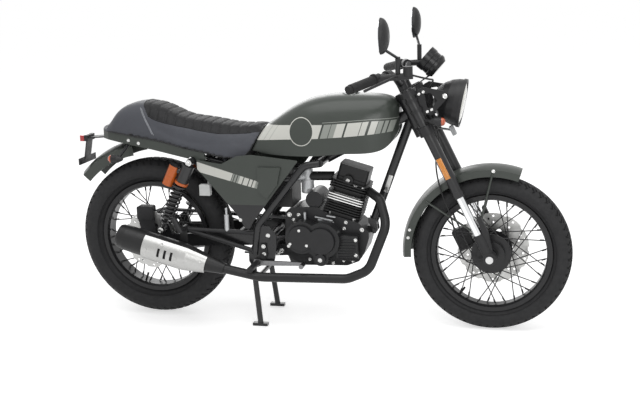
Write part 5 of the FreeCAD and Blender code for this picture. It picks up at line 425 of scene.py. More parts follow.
WORN_BY = {
    "olive": ("front_fender", "rear_fender", "tail_band"),
    "tank": ("fuel_tank",),
    "covers": ("side_covers",),
    "frame": ("main_frame", "subframe", "swingarm", "centre_stand", "side_stand"),
    "black": ("yokes", "handlebar", "headlight_bowl", "headlight_bracket", "footrests", "tail_bracket"),
    "fork": ("fork_tubes",),
    "cast_black": ("fork_sliders", "front_caliper", "rear_caliper"),
    "wheel": ("front_rim", "rear_rim", "front_hub", "rear_hub"),
    "engine": ("cylinder_barrel", "cylinder_head"),
    "case": ("crankcase", "engine_covers"),
    "alloy": ("carburettor", "rear_brake_cylinder"),
    "steel": ("front_axle", "rear_axle"),
    "chrome": ("fork_stanchions", "fuel_cap"),
    "shield": ("heat_shield",),
    "front_disc": ("front_disc",),
    "rear_disc": ("rear_disc",),
    "sprocket": ("rear_sprocket",),
    "dark_steel": ("drive_chain", "pedals"),
    "spoke": ("front_spokes", "rear_spokes"),
    "exhaust": ("exhaust_pipe", "muffler"),
    "spring": ("shock_bodies", "shock_springs"),
    "tyre": ("front_tyre", "rear_tyre"),
    "grip": ("grips",),
    "plastic": ("hand_controls", "mirror_shells", "front_indicators"),
    "gauge": ("gauge",),
    "box": ("air_box",),
    "vinyl": ("seat",),
    "orange_lens": ("front_indicator_lenses",),
    "red": ("rear_lenses",),
    "mirror": ("mirror_glass",),
    "headlight": ("headlight_lens",),
}
for finish, names in WORN_BY.items():
    for name in names:
        for slot in nodes[name].material_slots:
            slot.material = MATERIALS[finish].material


def also(node, finish):
    """Gives a solid a second finish, for the faces that are picked next, and returns its number."""
    nodes[node].data.materials.append(MATERIALS[finish].material)
    return len(nodes[node].data.materials) - 1


def repaint(node, finish, chosen):
    """Gives the faces of a solid whose middle and way out are chosen another finish."""
    number = also(node, finish)
    for face in nodes[node].data.polygons:
        if chosen(face.center, face.normal):
            face.material_index = number


# Camera, light and floor


def camera():
    """The photograph's eye: to the right and ahead, a little higher than the bars, and looking down."""
    place, lens = (0.9756, -3.9018, 1.3977), 59.1
    pan, tilt, roll = math.radians(-13.81), math.radians(-12.79), math.radians(-1.7)
    ahead = Vector((math.sin(pan) * math.cos(tilt), math.cos(pan) * math.cos(tilt), math.sin(tilt)))
    level = Vector((math.cos(pan), -math.sin(pan), 0))
    upright = level.cross(ahead)
    side = level * math.cos(roll) + upright * math.sin(roll)
    top = upright * math.cos(roll) - level * math.sin(roll)
    bpy.ops.object.camera_add(location=place)
    eye = bpy.context.object
    eye.name = "camera"
    turn = Matrix((side, top, -ahead)).transposed()
    eye.rotation_euler = turn.to_euler()
    eye.data.sensor_width = 36
    eye.data.lens = lens
    bpy.context.scene.camera = eye


SOFTBOXES = (
    ("softbox_above", (0.2, -0.8, 3.2), (0, 0, 0.5), (3.4, 2.2), 46),
    ("softbox_right", (1.6, -3.4, 1.9), (0.1, 0, 0.5), (1.8, 1.8), 34),
    ("softbox_left", (-1.4, 3.2, 2.0), (0, 0, 0.5), (2.4, 2.0), 26),
)


def soft_light(name, place, aim, size, watts):
    bpy.ops.object.light_add(type="AREA", location=place)
    lamp = bpy.context.object
    lamp.name = name
    lamp.data.shape = "RECTANGLE"
    lamp.data.size = size[0]
    lamp.data.size_y = size[1]
    lamp.data.energy = watts
    lamp.rotation_euler = (Vector(aim) - Vector(place)).to_track_quat("-Z", "Y").to_euler()


def world():
    """A white sky, weaker for the light that it throws than for what the camera and the metal see of it."""
    thrown, seen_level = 0.55, 1.0
    scene_world = bpy.data.worlds.new("studio")
    bpy.context.scene.world = scene_world
    scene_world.use_nodes = True
    tree = scene_world.node_tree
    sky = tree.nodes["Background"]
    sky.inputs["Color"].default_value = (1, 1, 1, 1)
    path = tree.nodes.new("ShaderNodeLightPath")
    seen = tree.nodes.new("ShaderNodeMath")
    seen.operation = "MAXIMUM"
    tree.links.new(path.outputs["Is Camera Ray"], seen.inputs[0])
    tree.links.new(path.outputs["Is Transmission Ray"], seen.inputs[1])
    mirrored = tree.nodes.new("ShaderNodeMath")
    mirrored.operation = "MAXIMUM"
    tree.links.new(seen.outputs[0], mirrored.inputs[0])
    tree.links.new(path.outputs["Is Glossy Ray"], mirrored.inputs[1])
    level = tree.nodes.new("ShaderNodeMapRange")
    level.inputs["To Min"].default_value = thrown
    level.inputs["To Max"].default_value = seen_level
    tree.links.new(mirrored.outputs[0], level.inputs["Value"])
    tree.links.new(level.outputs[0], sky.inputs["Strength"])


def floor():
    """A pale floor that keeps the shadow: what the camera and the metal see of it is lifted to white."""
    lift = 0.56
    bpy.ops.mesh.primitive_plane_add(size=60, location=(0, 0, 0))
    ground = bpy.context.object
    ground.name = "floor"
    surface = Surface("pale_floor", 0.8, shine=0.0)
    surface.uneven((0.8, 0.8, 0.8), 0.01, 0.5, 0.03)
    path = surface.node("ShaderNodeLightPath")
    seen = surface.sum("MAXIMUM", path.outputs["Is Camera Ray"], path.outputs["Is Transmission Ray"])
    seen = surface.sum("MAXIMUM", seen, path.outputs["Is Glossy Ray"])
    surface.shader.inputs["Emission Color"].default_value = (1, 1, 1, 1)
    surface.feed(surface.shader.inputs["Emission Strength"], surface.sum("MULTIPLY", seen, lift))
    ground.data.materials.append(surface.material)


bpy.context.scene.view_settings.view_transform = "Standard"
bpy.ops.object.select_all(action="DESELECT")
camera()
for softbox in SOFTBOXES:
    soft_light(*softbox)
world()
floor()


# Ways to model a piece


def only(piece):
    bpy.ops.object.select_all(action="DESELECT")
    piece.select_set(True)
    bpy.context.view_layer.objects.active = piece


def pick(piece, chosen, kind="FACE"):
    """Opens a piece for editing, with the faces or points that are chosen by place and way out selected."""
    only(piece)
    bpy.ops.object.mode_set(mode="EDIT")
    bpy.ops.mesh.select_mode(type=kind)
    bpy.ops.mesh.select_all(action="DESELECT")
    bpy.ops.object.mode_set(mode="OBJECT")
    for part in piece.data.polygons if kind == "FACE" else piece.data.vertices:
        where = part.center if kind == "FACE" else part.co
        part.select = bool(chosen(where, part.normal))
    bpy.ops.object.mode_set(mode="EDIT")


def close():
    bpy.ops.object.mode_set(mode="OBJECT")


def set_place():
    """Sets the active piece's place, turn and scale into its mesh."""
    bpy.ops.object.transform_apply(location=True, rotation=True, scale=True)


def joined(pieces):
    bpy.ops.object.select_all(action="DESELECT")
    for piece in pieces:
        piece.select_set(True)
    bpy.context.view_layer.objects.active = pieces[0]
    bpy.ops.object.join()
    return bpy.context.object


def finished(piece, name, finish, body, smooth=40):
    """Sets a piece's place, and gives it its name, its finish and the body that it moves with."""
    only(piece)
    set_place()
    bpy.ops.object.shade_smooth_by_angle(angle=math.radians(smooth))
    piece.name = name
    if finish and not piece.data.materials:
        piece.data.materials.append(MATERIALS[finish].material)
    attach(piece, body)
    return piece


def copy_of(piece):
    """A copy with its own mesh."""
    copy = piece.copy()
    copy.data = piece.data.copy()
    bpy.context.collection.objects.link(copy)
    return copy


def copies(master, places, name, finish, body):
    """Copies of a piece modelled along Z at the origin: each place is a point, a way out and a scale."""
    made = []
    for where, way, scale in places:
        copy = copy_of(master)
        turn = way.to_track_quat("Z", "Y").to_matrix().to_4x4()
        copy.matrix_world = Matrix.Translation(where) @ turn @ Matrix.Scale(scale, 4)
        made.append(copy)
    return finished(joined(made), name, finish, body)


def in_a_row(piece, count, step, name, finish):
    """Copies of a piece at even steps, joined into one with it."""
    row = [piece]
    for i in range(1, count):
        copy = copy_of(piece)
        copy.location = step * i
        row.append(copy)
    return finished(joined(row), name, finish, "frame")


def dropped(piece):
    only(piece)
    bpy.ops.object.delete()


def merged_copy(node, reach):
    """A copy of a solid that can be modelled further: its loose triangles are joined at their corners."""
    copy = copy_of(nodes[node])
    copy.parent = None
    copy.matrix_world = Matrix.Identity(4)
    pick(copy, lambda at, way: True)
    bpy.ops.mesh.remove_doubles(threshold=reach)
    close()
    return copy


def cylinder(sides, radius, depth, middle_z=0):
    """A cylinder along Z, with its place set, to be shaped further."""
    bpy.ops.object.select_all(action="DESELECT")
    bpy.ops.mesh.primitive_cylinder_add(vertices=sides, radius=radius, depth=depth, location=(0, 0, middle_z))
    set_place()
    return bpy.context.object


def ease_top(piece, ease, rounds=2):
    """Bevels the edges of a piece's top."""
    pick(piece, lambda at, way: way.z > 0.9)
    bpy.ops.mesh.bevel(offset=ease, segments=rounds, affect="EDGES")
    close()


def sink_top(piece, rim, depth):
    """Cuts a recess into a piece's top, inside a rim."""
    pick(piece, lambda at, way: way.z > 0.99)
    bpy.ops.mesh.inset(thickness=rim)
    bpy.ops.mesh.extrude_region_move(TRANSFORM_OT_translate={"value": (0, 0, -depth)})
    close()


def seated(names, start, way):
    """Where a line from start first meets one of the named solids."""
    met = [nodes[name].ray_cast(start, way) for name in names]
    return min((hit[1] for hit in met if hit[0]), key=lambda place: (place - start).length)


# Tyres

SECTION_POINTS = 56
SIDE_SWELL = (1.05, 1.02, 1)
BEAD_NARROWING = 0.86
GROOVE_SLANT = 2.6
GROOVE_DEPTH = 0.0035


def tyre(node, body, axle, radius, rim_radius, width, steps):
    """A tyre spun from a round section, with slanted grooves cut into its crown and shoulders."""
    middle, reach = (radius + rim_radius) / 2, (radius - rim_radius) / 2
    centre = axle + X * middle
    bpy.ops.object.select_all(action="DESELECT")
    bpy.ops.mesh.primitive_circle_add(vertices=SECTION_POINTS, radius=1, location=centre)
    piece = bpy.context.object
    piece.scale = (reach, width / 2, 1)
    set_place()
    pick(piece, lambda at, way: at.x > centre.x + reach * 0.2 and abs(at.y) > width * 0.2, "VERT")
    bpy.ops.transform.resize(value=SIDE_SWELL, center_override=centre)
    close()
    pick(piece, lambda at, way: at.x < centre.x - reach * 0.45, "VERT")
    bpy.ops.transform.resize(value=(1, BEAD_NARROWING, 1), center_override=centre)
    bpy.ops.mesh.select_all(action="SELECT")
    bpy.ops.mesh.spin(steps=steps, angle=math.tau, center=axle, axis=(0, 1, 0), use_auto_merge=True)
    bpy.ops.mesh.select_all(action="SELECT")
    bpy.ops.mesh.remove_doubles(threshold=0.00002)
    bpy.ops.mesh.normals_make_consistent(inside=False)
    close()
    crown = middle + reach * 0.15

    def out(at):
        return math.hypot(at.x - axle.x, at.z - axle.z)

    levels = sorted({round(abs(point.co.y), 4) for point in piece.data.vertices if out(point.co) > crown})
    for level in levels[1:]:
        pick(piece, lambda at, way: abs(abs(at.y) - level) < 0.00012 and out(at) > middle, "VERT")
        bpy.ops.transform.rotate(value=GROOVE_SLANT * level, orient_axis="Y", center_override=axle)
        close()

    def grooved(at, way):
        side = abs(at.y)
        if out(at) < crown or side < width * 0.05 or side > width * 0.44:
            return False
        round_share = (math.atan2(at.z - axle.z, at.x - axle.x) + GROOVE_SLANT * side) / math.tau
        column = int(round_share * steps + 1000 * steps) + (2 if at.y > 0 else 0)
        return column % 4 == 0 and side < width * 0.33 or column % 4 == 2 and side > width * 0.24

    pick(piece, grooved)
    bpy.ops.mesh.extrude_region_shrink_fatten(TRANSFORM_OT_shrink_fatten={"value": -GROOVE_DEPTH})
    close()
    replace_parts(finished(piece, node + "_treaded", "tyre", body, smooth=28), node)


tyre("front_tyre", "front_wheel", FRONT_AXLE, 0.300, 0.222, 0.100, 240)
tyre("rear_tyre", "rear_wheel", REAR_AXLE, 0.320, 0.222, 0.130, 248)


# Bolts


def hex_bolt():
    """A flanged hexagon head, ten millimetres across its flats."""
    head = cylinder(6, 0.0057, 0.005, 0.0037)
    ease_top(head, 0.0007)
    pick(head, lambda at, way: way.z > 0.99)
    bpy.ops.mesh.inset(thickness=0.0012)
    bpy.ops.transform.translate(value=(0, 0, -0.0005))
    close()
    washer = cylinder(18, 0.0078, 0.0018, 0.0006)
    ease_top(washer, 0.0005)
    return joined([head, washer])


def socket_bolt():
    """A round head with a recess for its key, ten millimetres wide."""
    head = cylinder(24, 0.005, 0.0056, 0.0026)
    ease_top(head, 0.0008)
    sink_top(head, 0.0017, 0.0024)
    return head


def right_bolts(solids, table):
    """Places on the right side. The table's rows say how far ahead, how far up and at what scale."""
    return [(seated(solids, spot(x, -420, z), Y), RIGHT, scale) for x, z, scale in table]


def left_bolts(solids, table):
    return [(seated(solids, spot(x, 420, z), -Y), Y, scale) for x, z, scale in table]


def both_sides(solids, table):
    return right_bolts(solids, table) + left_bolts(solids, table)


def bolts(name, body, master, places):
    copies(master, places, name, "bolt", body)


HEX, SOCKET = hex_bolt(), socket_bolt()
ENGINE = ("crankcase", "engine_covers", "cylinder_barrel", "cylinder_head")
CAP_SCREWS = ((630, 396.6, 1.15), (593.5, 342.5, 1.15), (658.5, 338, 1.15))
ENGINE_SCREWS = (
    (797, 414.6, 0.9), (611, 440, 0.9), (574, 440, 1.2), (786, 262, 0.8), (744, 250, 0.8), (700, 250, 0.8),
    (650, 262, 0.8), (822, 262, 0.8), (596, 300, 0.8), (583, 330, 0.8), (590, 420, 0.8), (529, 287, 1.3),
    (516, 273, 1.0), (836, 557, 0.9), (865, 550, 0.8), (709, 281, 1.1), (860, 387, 1.1), (790, 390, 0.9),
    (842, 356, 0.9), (842, 296, 0.9))
bolts("clutch_cap_screws", "frame", SOCKET, right_bolts(ENGINE, CAP_SCREWS))
bolts("engine_right_bolts", "frame", HEX, right_bolts(ENGINE, ENGINE_SCREWS))


# Second finishes on the solids

SHOCK_LOW, SHOCK_TOP = spot(74, 0, 386), spot(206, 0, 657)
SHOCK_AXIS = (SHOCK_TOP - SHOCK_LOW).normalized()
SHOCK_BACK = Vector((-SHOCK_AXIS.z, 0, SHOCK_AXIS.x))
SHOCK_SIDE = 0.148
CAN_BACK = 0.05


def along_shock(at):
    """How far up the shock a place is, how far behind its axis and how far beside it."""
    reach = at - SHOCK_LOW
    reach.y = 0
    return reach.dot(SHOCK_AXIS), reach.dot(SHOCK_BACK), abs(at.y) - SHOCK_SIDE


def on_reservoir(at, way):
    """On the orange can behind the shock, between its black ends."""
    up, back, beside = along_shock(at)
    if abs(way.dot(SHOCK_AXIS)) >= 0.5:
        return False
    return 0.186 < up < 0.2525 and math.hypot(back - CAN_BACK, beside) < 0.0225


def on_collar(at):
    """On the orange collar near the shock's top."""
    up, back, beside = along_shock(at)
    return 0.204 < up < 0.2155 and math.hypot(back, beside) < 0.028


repaint("shock_bodies", "orange", lambda at, way: on_reservoir(at, way) or on_collar(at))

BARREL_FOOT = spot(785, 0, 432)
BARREL_LEAN = math.radians(16)
BARREL_UP = Vector((math.sin(BARREL_LEAN), 0, math.cos(BARREL_LEAN)))


def on_bright_fin(at, way):
    """On the machined edges of the fins in the middle of the barrel, and on its foot."""
    up = (at - BARREL_FOOT).dot(BARREL_UP)
    at_height = 0.058 < up < 0.09 or 0 < up < 0.004
    return at_height and abs(way.dot(BARREL_UP)) < 0.2 and abs(at.y) > 0.05 and abs(way.y) > 0.5


for barrel_node in ("cylinder_barrel", "cylinder_head"):
    repaint(barrel_node, "polished_fin", on_bright_fin)


# Seat

PANEL_EDGE = (
    (-14, 893), (-2, 870.6), (12, 849), (25, 826), (64, 810), (106, 800), (158, 789), (236, 774.5),
    (312, 762), (385, 761), (480, 766))
CHANNELS = (24, 60, 96, 132, 168, 204, 240, 276, 312, 348, 384, 420)
CHANNEL_STEPS = ((0.0065, 0.001), (0.0036, 0.0018))
TAIL_START, TAIL_STRETCH = spot(60, 0, 0), 1.17
LIP_START, LIP_SHARE = spot(-155, 0, 0), 0.4
SOLID_MERGE, SEAT_GRID = 0.00005, 0.006
COVER_INSET = 0.003
FOAM_PRESSURE, FOAM_FRAMES, FOAM_CAP = 4, 20, 0.005
PAN_START, PAN_HEIGHT = spot(-60, 0, 0), 0.006


def panel_edge_height(x):
    """How high the edge of the seat's top panel is at a place along X, in metres above the floor."""
    ahead = x * 1000 + AXLE_TO_MIDDLE
    for (low, first), (high, last) in zip(PANEL_EDGE, PANEL_EDGE[1:]):
        if low <= ahead <= high:
            return (first + (last - first) * (ahead - low) / (high - low)) / 1000
    return 1


def on_panel(at, way):
    return way.z > 0.05 and at.z > panel_edge_height(at.x)


def seat_copy():
    """A copy of the seat's solid with an even mesh."""
    copy = merged_copy("seat", SOLID_MERGE)
    copy.data.remesh_voxel_size = SEAT_GRID
    bpy.ops.object.voxel_remesh()
    return copy


def swollen(pad):
    """Lets the foam push the cover out, with the underside held and no point moved further than the cap."""
    scene = bpy.context.scene
    held = pad.vertex_groups.new(name="held")
    held.add([point.index for point in pad.data.vertices if point.normal.z < -0.2], 1.0, "ADD")
    bpy.ops.object.modifier_add(type="CLOTH")
    cloth = pad.modifiers[-1]
    cloth.settings.vertex_group_mass = "held"
    cloth.settings.use_pressure = True
    cloth.settings.uniform_pressure_force = FOAM_PRESSURE
    cloth.settings.effector_weights.gravity = 0
    before = [point.co.copy() for point in pad.data.vertices]
    for moment in range(1, FOAM_FRAMES + 1):
        scene.frame_set(moment)
    bpy.ops.object.modifier_apply(modifier=cloth.name)
    scene.frame_set(1)
    for point, start in zip(pad.data.vertices, before):
        move = point.co - start
        if move.length > FOAM_CAP:
            point.co = start + move.normalized() * FOAM_CAP
    pad.vertex_groups.clear()


def cushion():
    """The seat: a swollen pad with its hump drawn out to the rear and a ribbed panel sewn into its top."""
    pad = seat_copy()
    pick(pad, lambda at, way: at.x < TAIL_START.x, "VERT")
    bpy.ops.transform.resize(value=(TAIL_STRETCH, 1, 1), center_override=TAIL_START)
    close()
    pick(pad, lambda at, way: at.x < LIP_START.x, "VERT")
    bpy.ops.transform.resize(value=(LIP_SHARE, 1, 1), center_override=LIP_START)
    close()
    pick(pad, lambda at, way: way.z > -0.2 and at.x > LIP_START.x)
    bpy.ops.transform.shrink_fatten(value=-COVER_INSET)
    bpy.ops.mesh.vertices_smooth(factor=0.5, repeat=2)
    close()
    swollen(pad)
    bpy.ops.object.modifier_add(type="SUBSURF")
    bpy.ops.object.modifier_apply(modifier=pad.modifiers[-1].name)
    for reach, depth in CHANNEL_STEPS:
        pick(pad, lambda at, way: on_panel(at, way) and any(
            abs(at.x - spot(x, 0, 0).x) < reach for x in CHANNELS), "VERT")
        bpy.ops.transform.shrink_fatten(value=-depth)
        close()
    pad.data.materials.clear()
    pad.data.materials.append(MATERIALS["vinyl"].material)
    pad.data.materials.append(MATERIALS["seat_top"].material)
    for face in pad.data.polygons:
        face.material_index = 1 if on_panel(face.center, face.normal) else 0
    return finished(pad, "seat_pad", "vinyl", "frame", smooth=60)


def base_pan():
    """The thin black edge of the seat's base, under the pad and inside the band."""
    pan = seat_copy()

    def above(at, way):
        low = nodes["seat"].ray_cast(Vector((at.x, at.y, 0.4)), Z)
        return at.x < PAN_START.x or low[0] and at.z - low[1].z > PAN_HEIGHT

    pick(pan, above)
    bpy.ops.mesh.delete(type="FACE")
    bpy.ops.mesh.select_all(action="SELECT")
    bpy.ops.transform.shrink_fatten(value=0.0008)
    close()
    bpy.ops.object.modifier_add(type="SOLIDIFY")
    wall = pan.modifiers[-1]
    wall.thickness = 0.0015
    bpy.ops.object.modifier_apply(modifier=wall.name)
    pan.data.materials.clear()
    return finished(pan, "seat_base_edge", "plastic", "frame", smooth=60)


def tube(points, radius, name, finish, body, steps=6):
    """A round cord along a smooth line that the points lead."""
    bpy.ops.object.select_all(action="DESELECT")
    bpy.ops.curve.primitive_nurbs_path_add()
    line = bpy.context.object
    line.data.splines.clear()
    spline = line.data.splines.new("NURBS")
    spline.points.add(len(points) - 1)
    for point, place in zip(spline.points, points):
        point.co = (*place, 1)
    spline.order_u = 3
    spline.use_endpoint_u = True
    line.data.resolution_u = steps
    line.data.bevel_depth = radius
    line.data.bevel_resolution = 3
    line.data.use_fill_caps = True
    bpy.ops.object.convert(target="MESH")
    return finished(bpy.context.object, name, finish, body)


PAD = cushion()
base_pan()
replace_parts(PAD, "seat")


def from_side(side, x, z):
    """Where a level line from one side first meets the pad, if it does."""
    met, place, way, face = PAD.ray_cast(Vector((x, side * 0.4, z)), Y * -side)
    return place if met else None


def piping_points():
    """The edge of the panel: along the right side, round the back and along the left side."""
    back_x, back_depth, back_half = spot(-2, 0, 0).x, 0.008, 0.069
    side_xs = [spot(x, 0, 0).x for x in range(438, 5, -24)]
    right = [from_side(-1, x, panel_edge_height(x)) for x in side_xs]
    back = []
    for share in (-1, -0.66, -0.33, 0, 0.33, 0.66, 1):
        above = Vector((back_x - back_depth * (1 - share * share), back_half * share, 1.2))
        back.append(PAD.ray_cast(above, -Z)[1])
    left = [from_side(1, x, panel_edge_height(x)) for x in reversed(side_xs)]
    return right + back + left


def foot_of_pad(side, x):
    """Where the pad's side goes in behind the band below it, or where it ends when there is no band."""
    foot = None
    for up in range(880, 660, -2):
        place = from_side(side, x, up / 1000)
        band = nodes["tail_band"].ray_cast(Vector((x, side * 0.4, up / 1000)), Y * -side)
        if foot and (not place or band[0] and side * band[1].y > side * place.y):
            break
        if place:
            foot = place + Z * 0.001 + Y * side * 0.001
    return foot


tube(piping_points(), 0.0022, "seat_piping", "seat_top", "frame", steps=3)
for side_name, side in SIDES:
    foot = [foot_of_pad(side, spot(x, 0, 0).x) for x in range(440, -170, -30)]
    tube([place for place in foot if place], 0.003, "seat_edge_" + side_name, "plastic", "frame", steps=3)


# Hoses and cables

BRAKE_HOSE = (
    (1094, -265, 1001), (1144, -216, 981), (1150, -130, 972), (1114, -52, 918), (1136, -30, 822),
    (1152, -20, 740), (1146, 45, 678), (1150, 72, 604), (1172, 80, 515), (1188.5, 76, 433), (1217, 75, 376))
SENSOR_CABLE = (
    (1116, -52, 762), (1145, -52, 704), (1146, -70, 625), (1168, -80, 540), (1204, -86, 458),
    (1222, -86, 378), (1260, -86, 256), (1327, -85.5, 289))
tube([spot(*point) for point in BRAKE_HOSE], 0.0035, "brake_hose", "hose", "steering")
tube([spot(*point) for point in SENSOR_CABLE], 0.003, "wheel_sensor_cable", "hose", "steering")


# Reflectors and plates


def slab(name, centre, across, along, thick, lean, finish, body, ease=0.002):
    """A flat block with eased edges: across is ahead, along leans back by an angle, thick is to the side."""
    bpy.ops.object.select_all(action="DESELECT")
    bpy.ops.mesh.primitive_cube_add(size=1, location=centre, rotation=(0, lean, 0))
    block = bpy.context.object
    block.scale = (across, thick, along)
    set_place()
    pick(block, lambda at, way: True)
    bpy.ops.mesh.bevel(offset=ease, segments=2, affect="EDGES")
    close()
    return finished(block, name, finish, body)


for side_name, side in SIDES:
    slab("fork_reflector_" + side_name, spot(1180, side * 117.5, 641), 0.02, 0.084, 0.007, -STEERING_LEAN,
         "amber", "steering")

tube_low, tube_high = spot(905, 0, 425), spot(1000, 0, 700)
tube_lean = math.atan2(tube_high.x - tube_low.x, tube_high.z - tube_low.z)
plate_at = seated(("main_frame",), spot(957, -300, 560), Y)
slab("downtube_plate", plate_at + Y * 0.001, 0.016, 0.07, 0.004, tube_lean, "shield", "frame", ease=0.0012)
repaint("yokes", "horn", lambda at, way: (at - spot(1205, 0, 768)).length < 0.034)


# More bolts

HEAD = ("headlight_bracket", "headlight_bowl", "yokes", "fork_tubes")
HEAD_SCREWS = (
    (1183, 907, 1.25), (1088.5, 914.5, 0.7), (1104.5, 922.5, 0.7), (1119.5, 850, 0.7), (1135.5, 857.5, 0.7))
PLATES = ("main_frame", "footrests", "subframe", "shock_bodies", "side_covers", "swingarm")
PLATE_BOLTS = (
    (501.6, 369, 1.1), (486, 328.5, 1.1), (485, 296, 1.0), (398, 432, 0.9), (206, 657, 1.6), (74, 386, 1.5))
SHIELD = ("heat_shield", "muffler")
SHIELD_SCREWS = ((112, 353, 1.0), (262, 290, 1.0))
TAIL = ("tail_band", "rear_fender")
TAIL_BOLTS = ((-62, 732, 0.85), (-18, 722, 0.85))
FENDER = ("front_fender",)
FENDER_BOLTS = ((1043.5, 391, 0.8), (1037.5, 360.5, 0.8), (1357.5, 624, 0.9))
CALIPER = ("front_caliper",)
CALIPER_BOLTS = ((1236, 352, 1.1), (1228, 322, 1.1))
bolts("bracket_bolts", "steering", HEX, both_sides(HEAD, HEAD_SCREWS))
bolts("frame_bolts", "frame", HEX, both_sides(PLATES, PLATE_BOLTS))
bolts("shield_screws", "frame", SOCKET, right_bolts(SHIELD, SHIELD_SCREWS))
bolts("tail_bolts", "frame", HEX, both_sides(TAIL, TAIL_BOLTS))
bolts("fender_bolts", "steering", HEX, both_sides(FENDER, FENDER_BOLTS))
bolts("caliper_bolts", "steering", HEX, left_bolts(CALIPER, CALIPER_BOLTS))

WHEEL_BOLT_COUNT, WHEEL_BOLT_RADIUS = 5, 0.047


def ring_of(solids, axle, from_y, way, scale):
    """Places for bolts on a circle round an axle, on the side that way comes from."""
    places = []
    for i in range(WHEEL_BOLT_COUNT):
        angle = math.tau * (i + 0.25) / WHEEL_BOLT_COUNT
        out = Vector((math.cos(angle), 0, math.sin(angle))) * WHEEL_BOLT_RADIUS
        places.append((seated(solids, axle + out + Y * from_y, way), -way, scale))
    return places


def axle_end(node, axle, way, scale):
    """The place of a nut on an axle's end, with way pointing at the motorcycle."""
    return seated((node,), axle - way * 0.3, way), -way, scale


FRONT_DISC, REAR_DISC = ("front_disc", "front_hub"), ("rear_disc", "rear_hub")
SPROCKET = ("rear_sprocket", "rear_hub")
bolts("front_disc_bolts", "front_wheel", SOCKET, ring_of(FRONT_DISC, FRONT_AXLE, 0.075, -Y, 1.1))
bolts("rear_disc_bolts", "rear_wheel", SOCKET, ring_of(REAR_DISC, REAR_AXLE, -0.09, Y, 1.1))
bolts("sprocket_bolts", "rear_wheel", HEX, ring_of(SPROCKET, REAR_AXLE, 0.1, -Y, 1.2))
bolts("rear_axle_nuts", "frame", HEX, [axle_end("rear_axle", REAR_AXLE, way, 2.0) for way in (Y, -Y)])
bolts("front_axle_nut", "steering", HEX, [axle_end("front_axle", FRONT_AXLE, -Y, 1.8)])
dropped(HEX)
dropped(SOCKET)


# Engine details


def turned_disc(name, centre, axis, radius, thick, ease, finish):
    """A round cap with an eased edge and a shallow dish in its face."""
    disc = cylinder(40, radius, thick)
    ease_top(disc, ease, 3)
    sink_top(disc, radius * 0.2, thick * 0.12)
    disc.matrix_world = Matrix.Translation(centre) @ axis.to_track_quat("Z", "Y").to_matrix().to_4x4()
    return finished(disc, name, finish, "frame")


RIB_COUNT, RIB_STEP = 8, Z * -0.011
CASE_FINGERS = (
    ("case_finger_upper", 740, 437.5, 0.036, 0.155), ("case_finger_middle", 711, 427.5, 0.072, 0.2),
    ("case_finger_lower", 719, 418.5, 0.064, 0.168))
INTAKE_START = spot(668, 0, 0).x
rib = slab("rib", spot(807, -107, 354), 0.068, 0.0052, 0.006, 0, "case", "frame")
in_a_row(rib, RIB_COUNT, RIB_STEP, "front_cover_ribs", "case")
for name, ahead, up, length, fall in CASE_FINGERS:
    slab(name, spot(ahead, -68, up), length, 0.0055, 0.01, fall, "alloy", "frame")
turned_disc("cam_cap", spot(808, -58.5, 578), RIGHT, 0.021, 0.009, 0.002, "engine")
slab("cam_cap_lozenge", spot(808, -63, 578), 0.014, 0.014, 0.003, math.radians(36), "shield", "frame",
     ease=0.0008)
turned_disc("clutch_lever_sleeve", spot(640, -84, 441), Z, 0.0048, 0.028, 0.0012, "alloy")
turned_disc("float_bowl", spot(636, -19.5, 533), -Z, 0.0215, 0.03, 0.006, "alloy")
turned_disc("choke_cap", spot(614, -44, 589), RIGHT, 0.012, 0.01, 0.002, "alloy")
repaint("carburettor", "box", lambda at, way: at.x > INTAKE_START)


# Spoke nipples and valves


def separate_parts(piece):
    """The points of each separate part of a mesh."""
    leader = list(range(len(piece.data.vertices)))

    def first(number):
        while leader[number] != number:
            leader[number] = leader[leader[number]]
            number = leader[number]
        return number

    for edge in piece.data.edges:
        leader[first(edge.vertices[0])] = first(edge.vertices[1])
    groups = {}
    for point in piece.data.vertices:
        groups.setdefault(first(point.index), []).append(point.co.copy())
    return list(groups.values())


def spoke_ends(node, axle):
    """For each spoke, the point where it meets the rim and its way in towards the hub."""
    spokes = merged_copy(node, 0.00002)
    ends = []
    for points in separate_parts(spokes):
        points.sort(key=lambda point: math.hypot(point.x - axle.x, point.z - axle.z))
        few = max(3, len(points) // 6)
        inner = sum(points[:few], Vector()) / few
        outer = sum(points[-few:], Vector()) / few
        way = (inner - outer).normalized()
        ends.append((outer + way * 0.004, way, 1.0))
    dropped(spokes)
    return ends


NIPPLE_LENGTH = 0.016
NIPPLE = cylinder(10, 0.0034, NIPPLE_LENGTH, NIPPLE_LENGTH / 2)
pick(NIPPLE, lambda at, way: way.z > 0.9)
bpy.ops.mesh.inset(thickness=0.0003)
bpy.ops.transform.resize(value=(0.72, 0.72, 1), center_override=(0, 0, NIPPLE_LENGTH))
close()
copies(NIPPLE, spoke_ends("front_spokes", FRONT_AXLE), "front_nipples", "spoke", "front_wheel")
copies(NIPPLE, spoke_ends("rear_spokes", REAR_AXLE), "rear_nipples", "spoke", "rear_wheel")
dropped(NIPPLE)
VALVE_REACHES = (0.212, 0.2, 0.19, 0.178)
for valve, axle, angle, body in (
        ("front_valve", FRONT_AXLE, math.radians(235), "front_wheel"),
        ("rear_valve", REAR_AXLE, math.radians(250), "rear_wheel")):
    out = Vector((math.cos(angle), 0, math.sin(angle)))
    tube([axle + out * reach for reach in VALVE_REACHES], 0.0042, valve, "hose", body, steps=2)


# Seat seam

SEAM = ((-6, 856), (2, 842), (11, 826), (23, 804), (37, 780), (50, 756))
SEAM_ROWS = (("front", -6, 3), ("rear", 0, 0))
for side_name, side in SIDES:
    for row, back, up in SEAM_ROWS:
        thread = [from_side(side, spot(x + back, 0, 0).x, (z + up) / 1000) for x, z in SEAM]
        tube(thread, 0.0014, "seat_thread_%s_%s" % (side_name, row), "thread", "frame", steps=3)


# Gauge dial

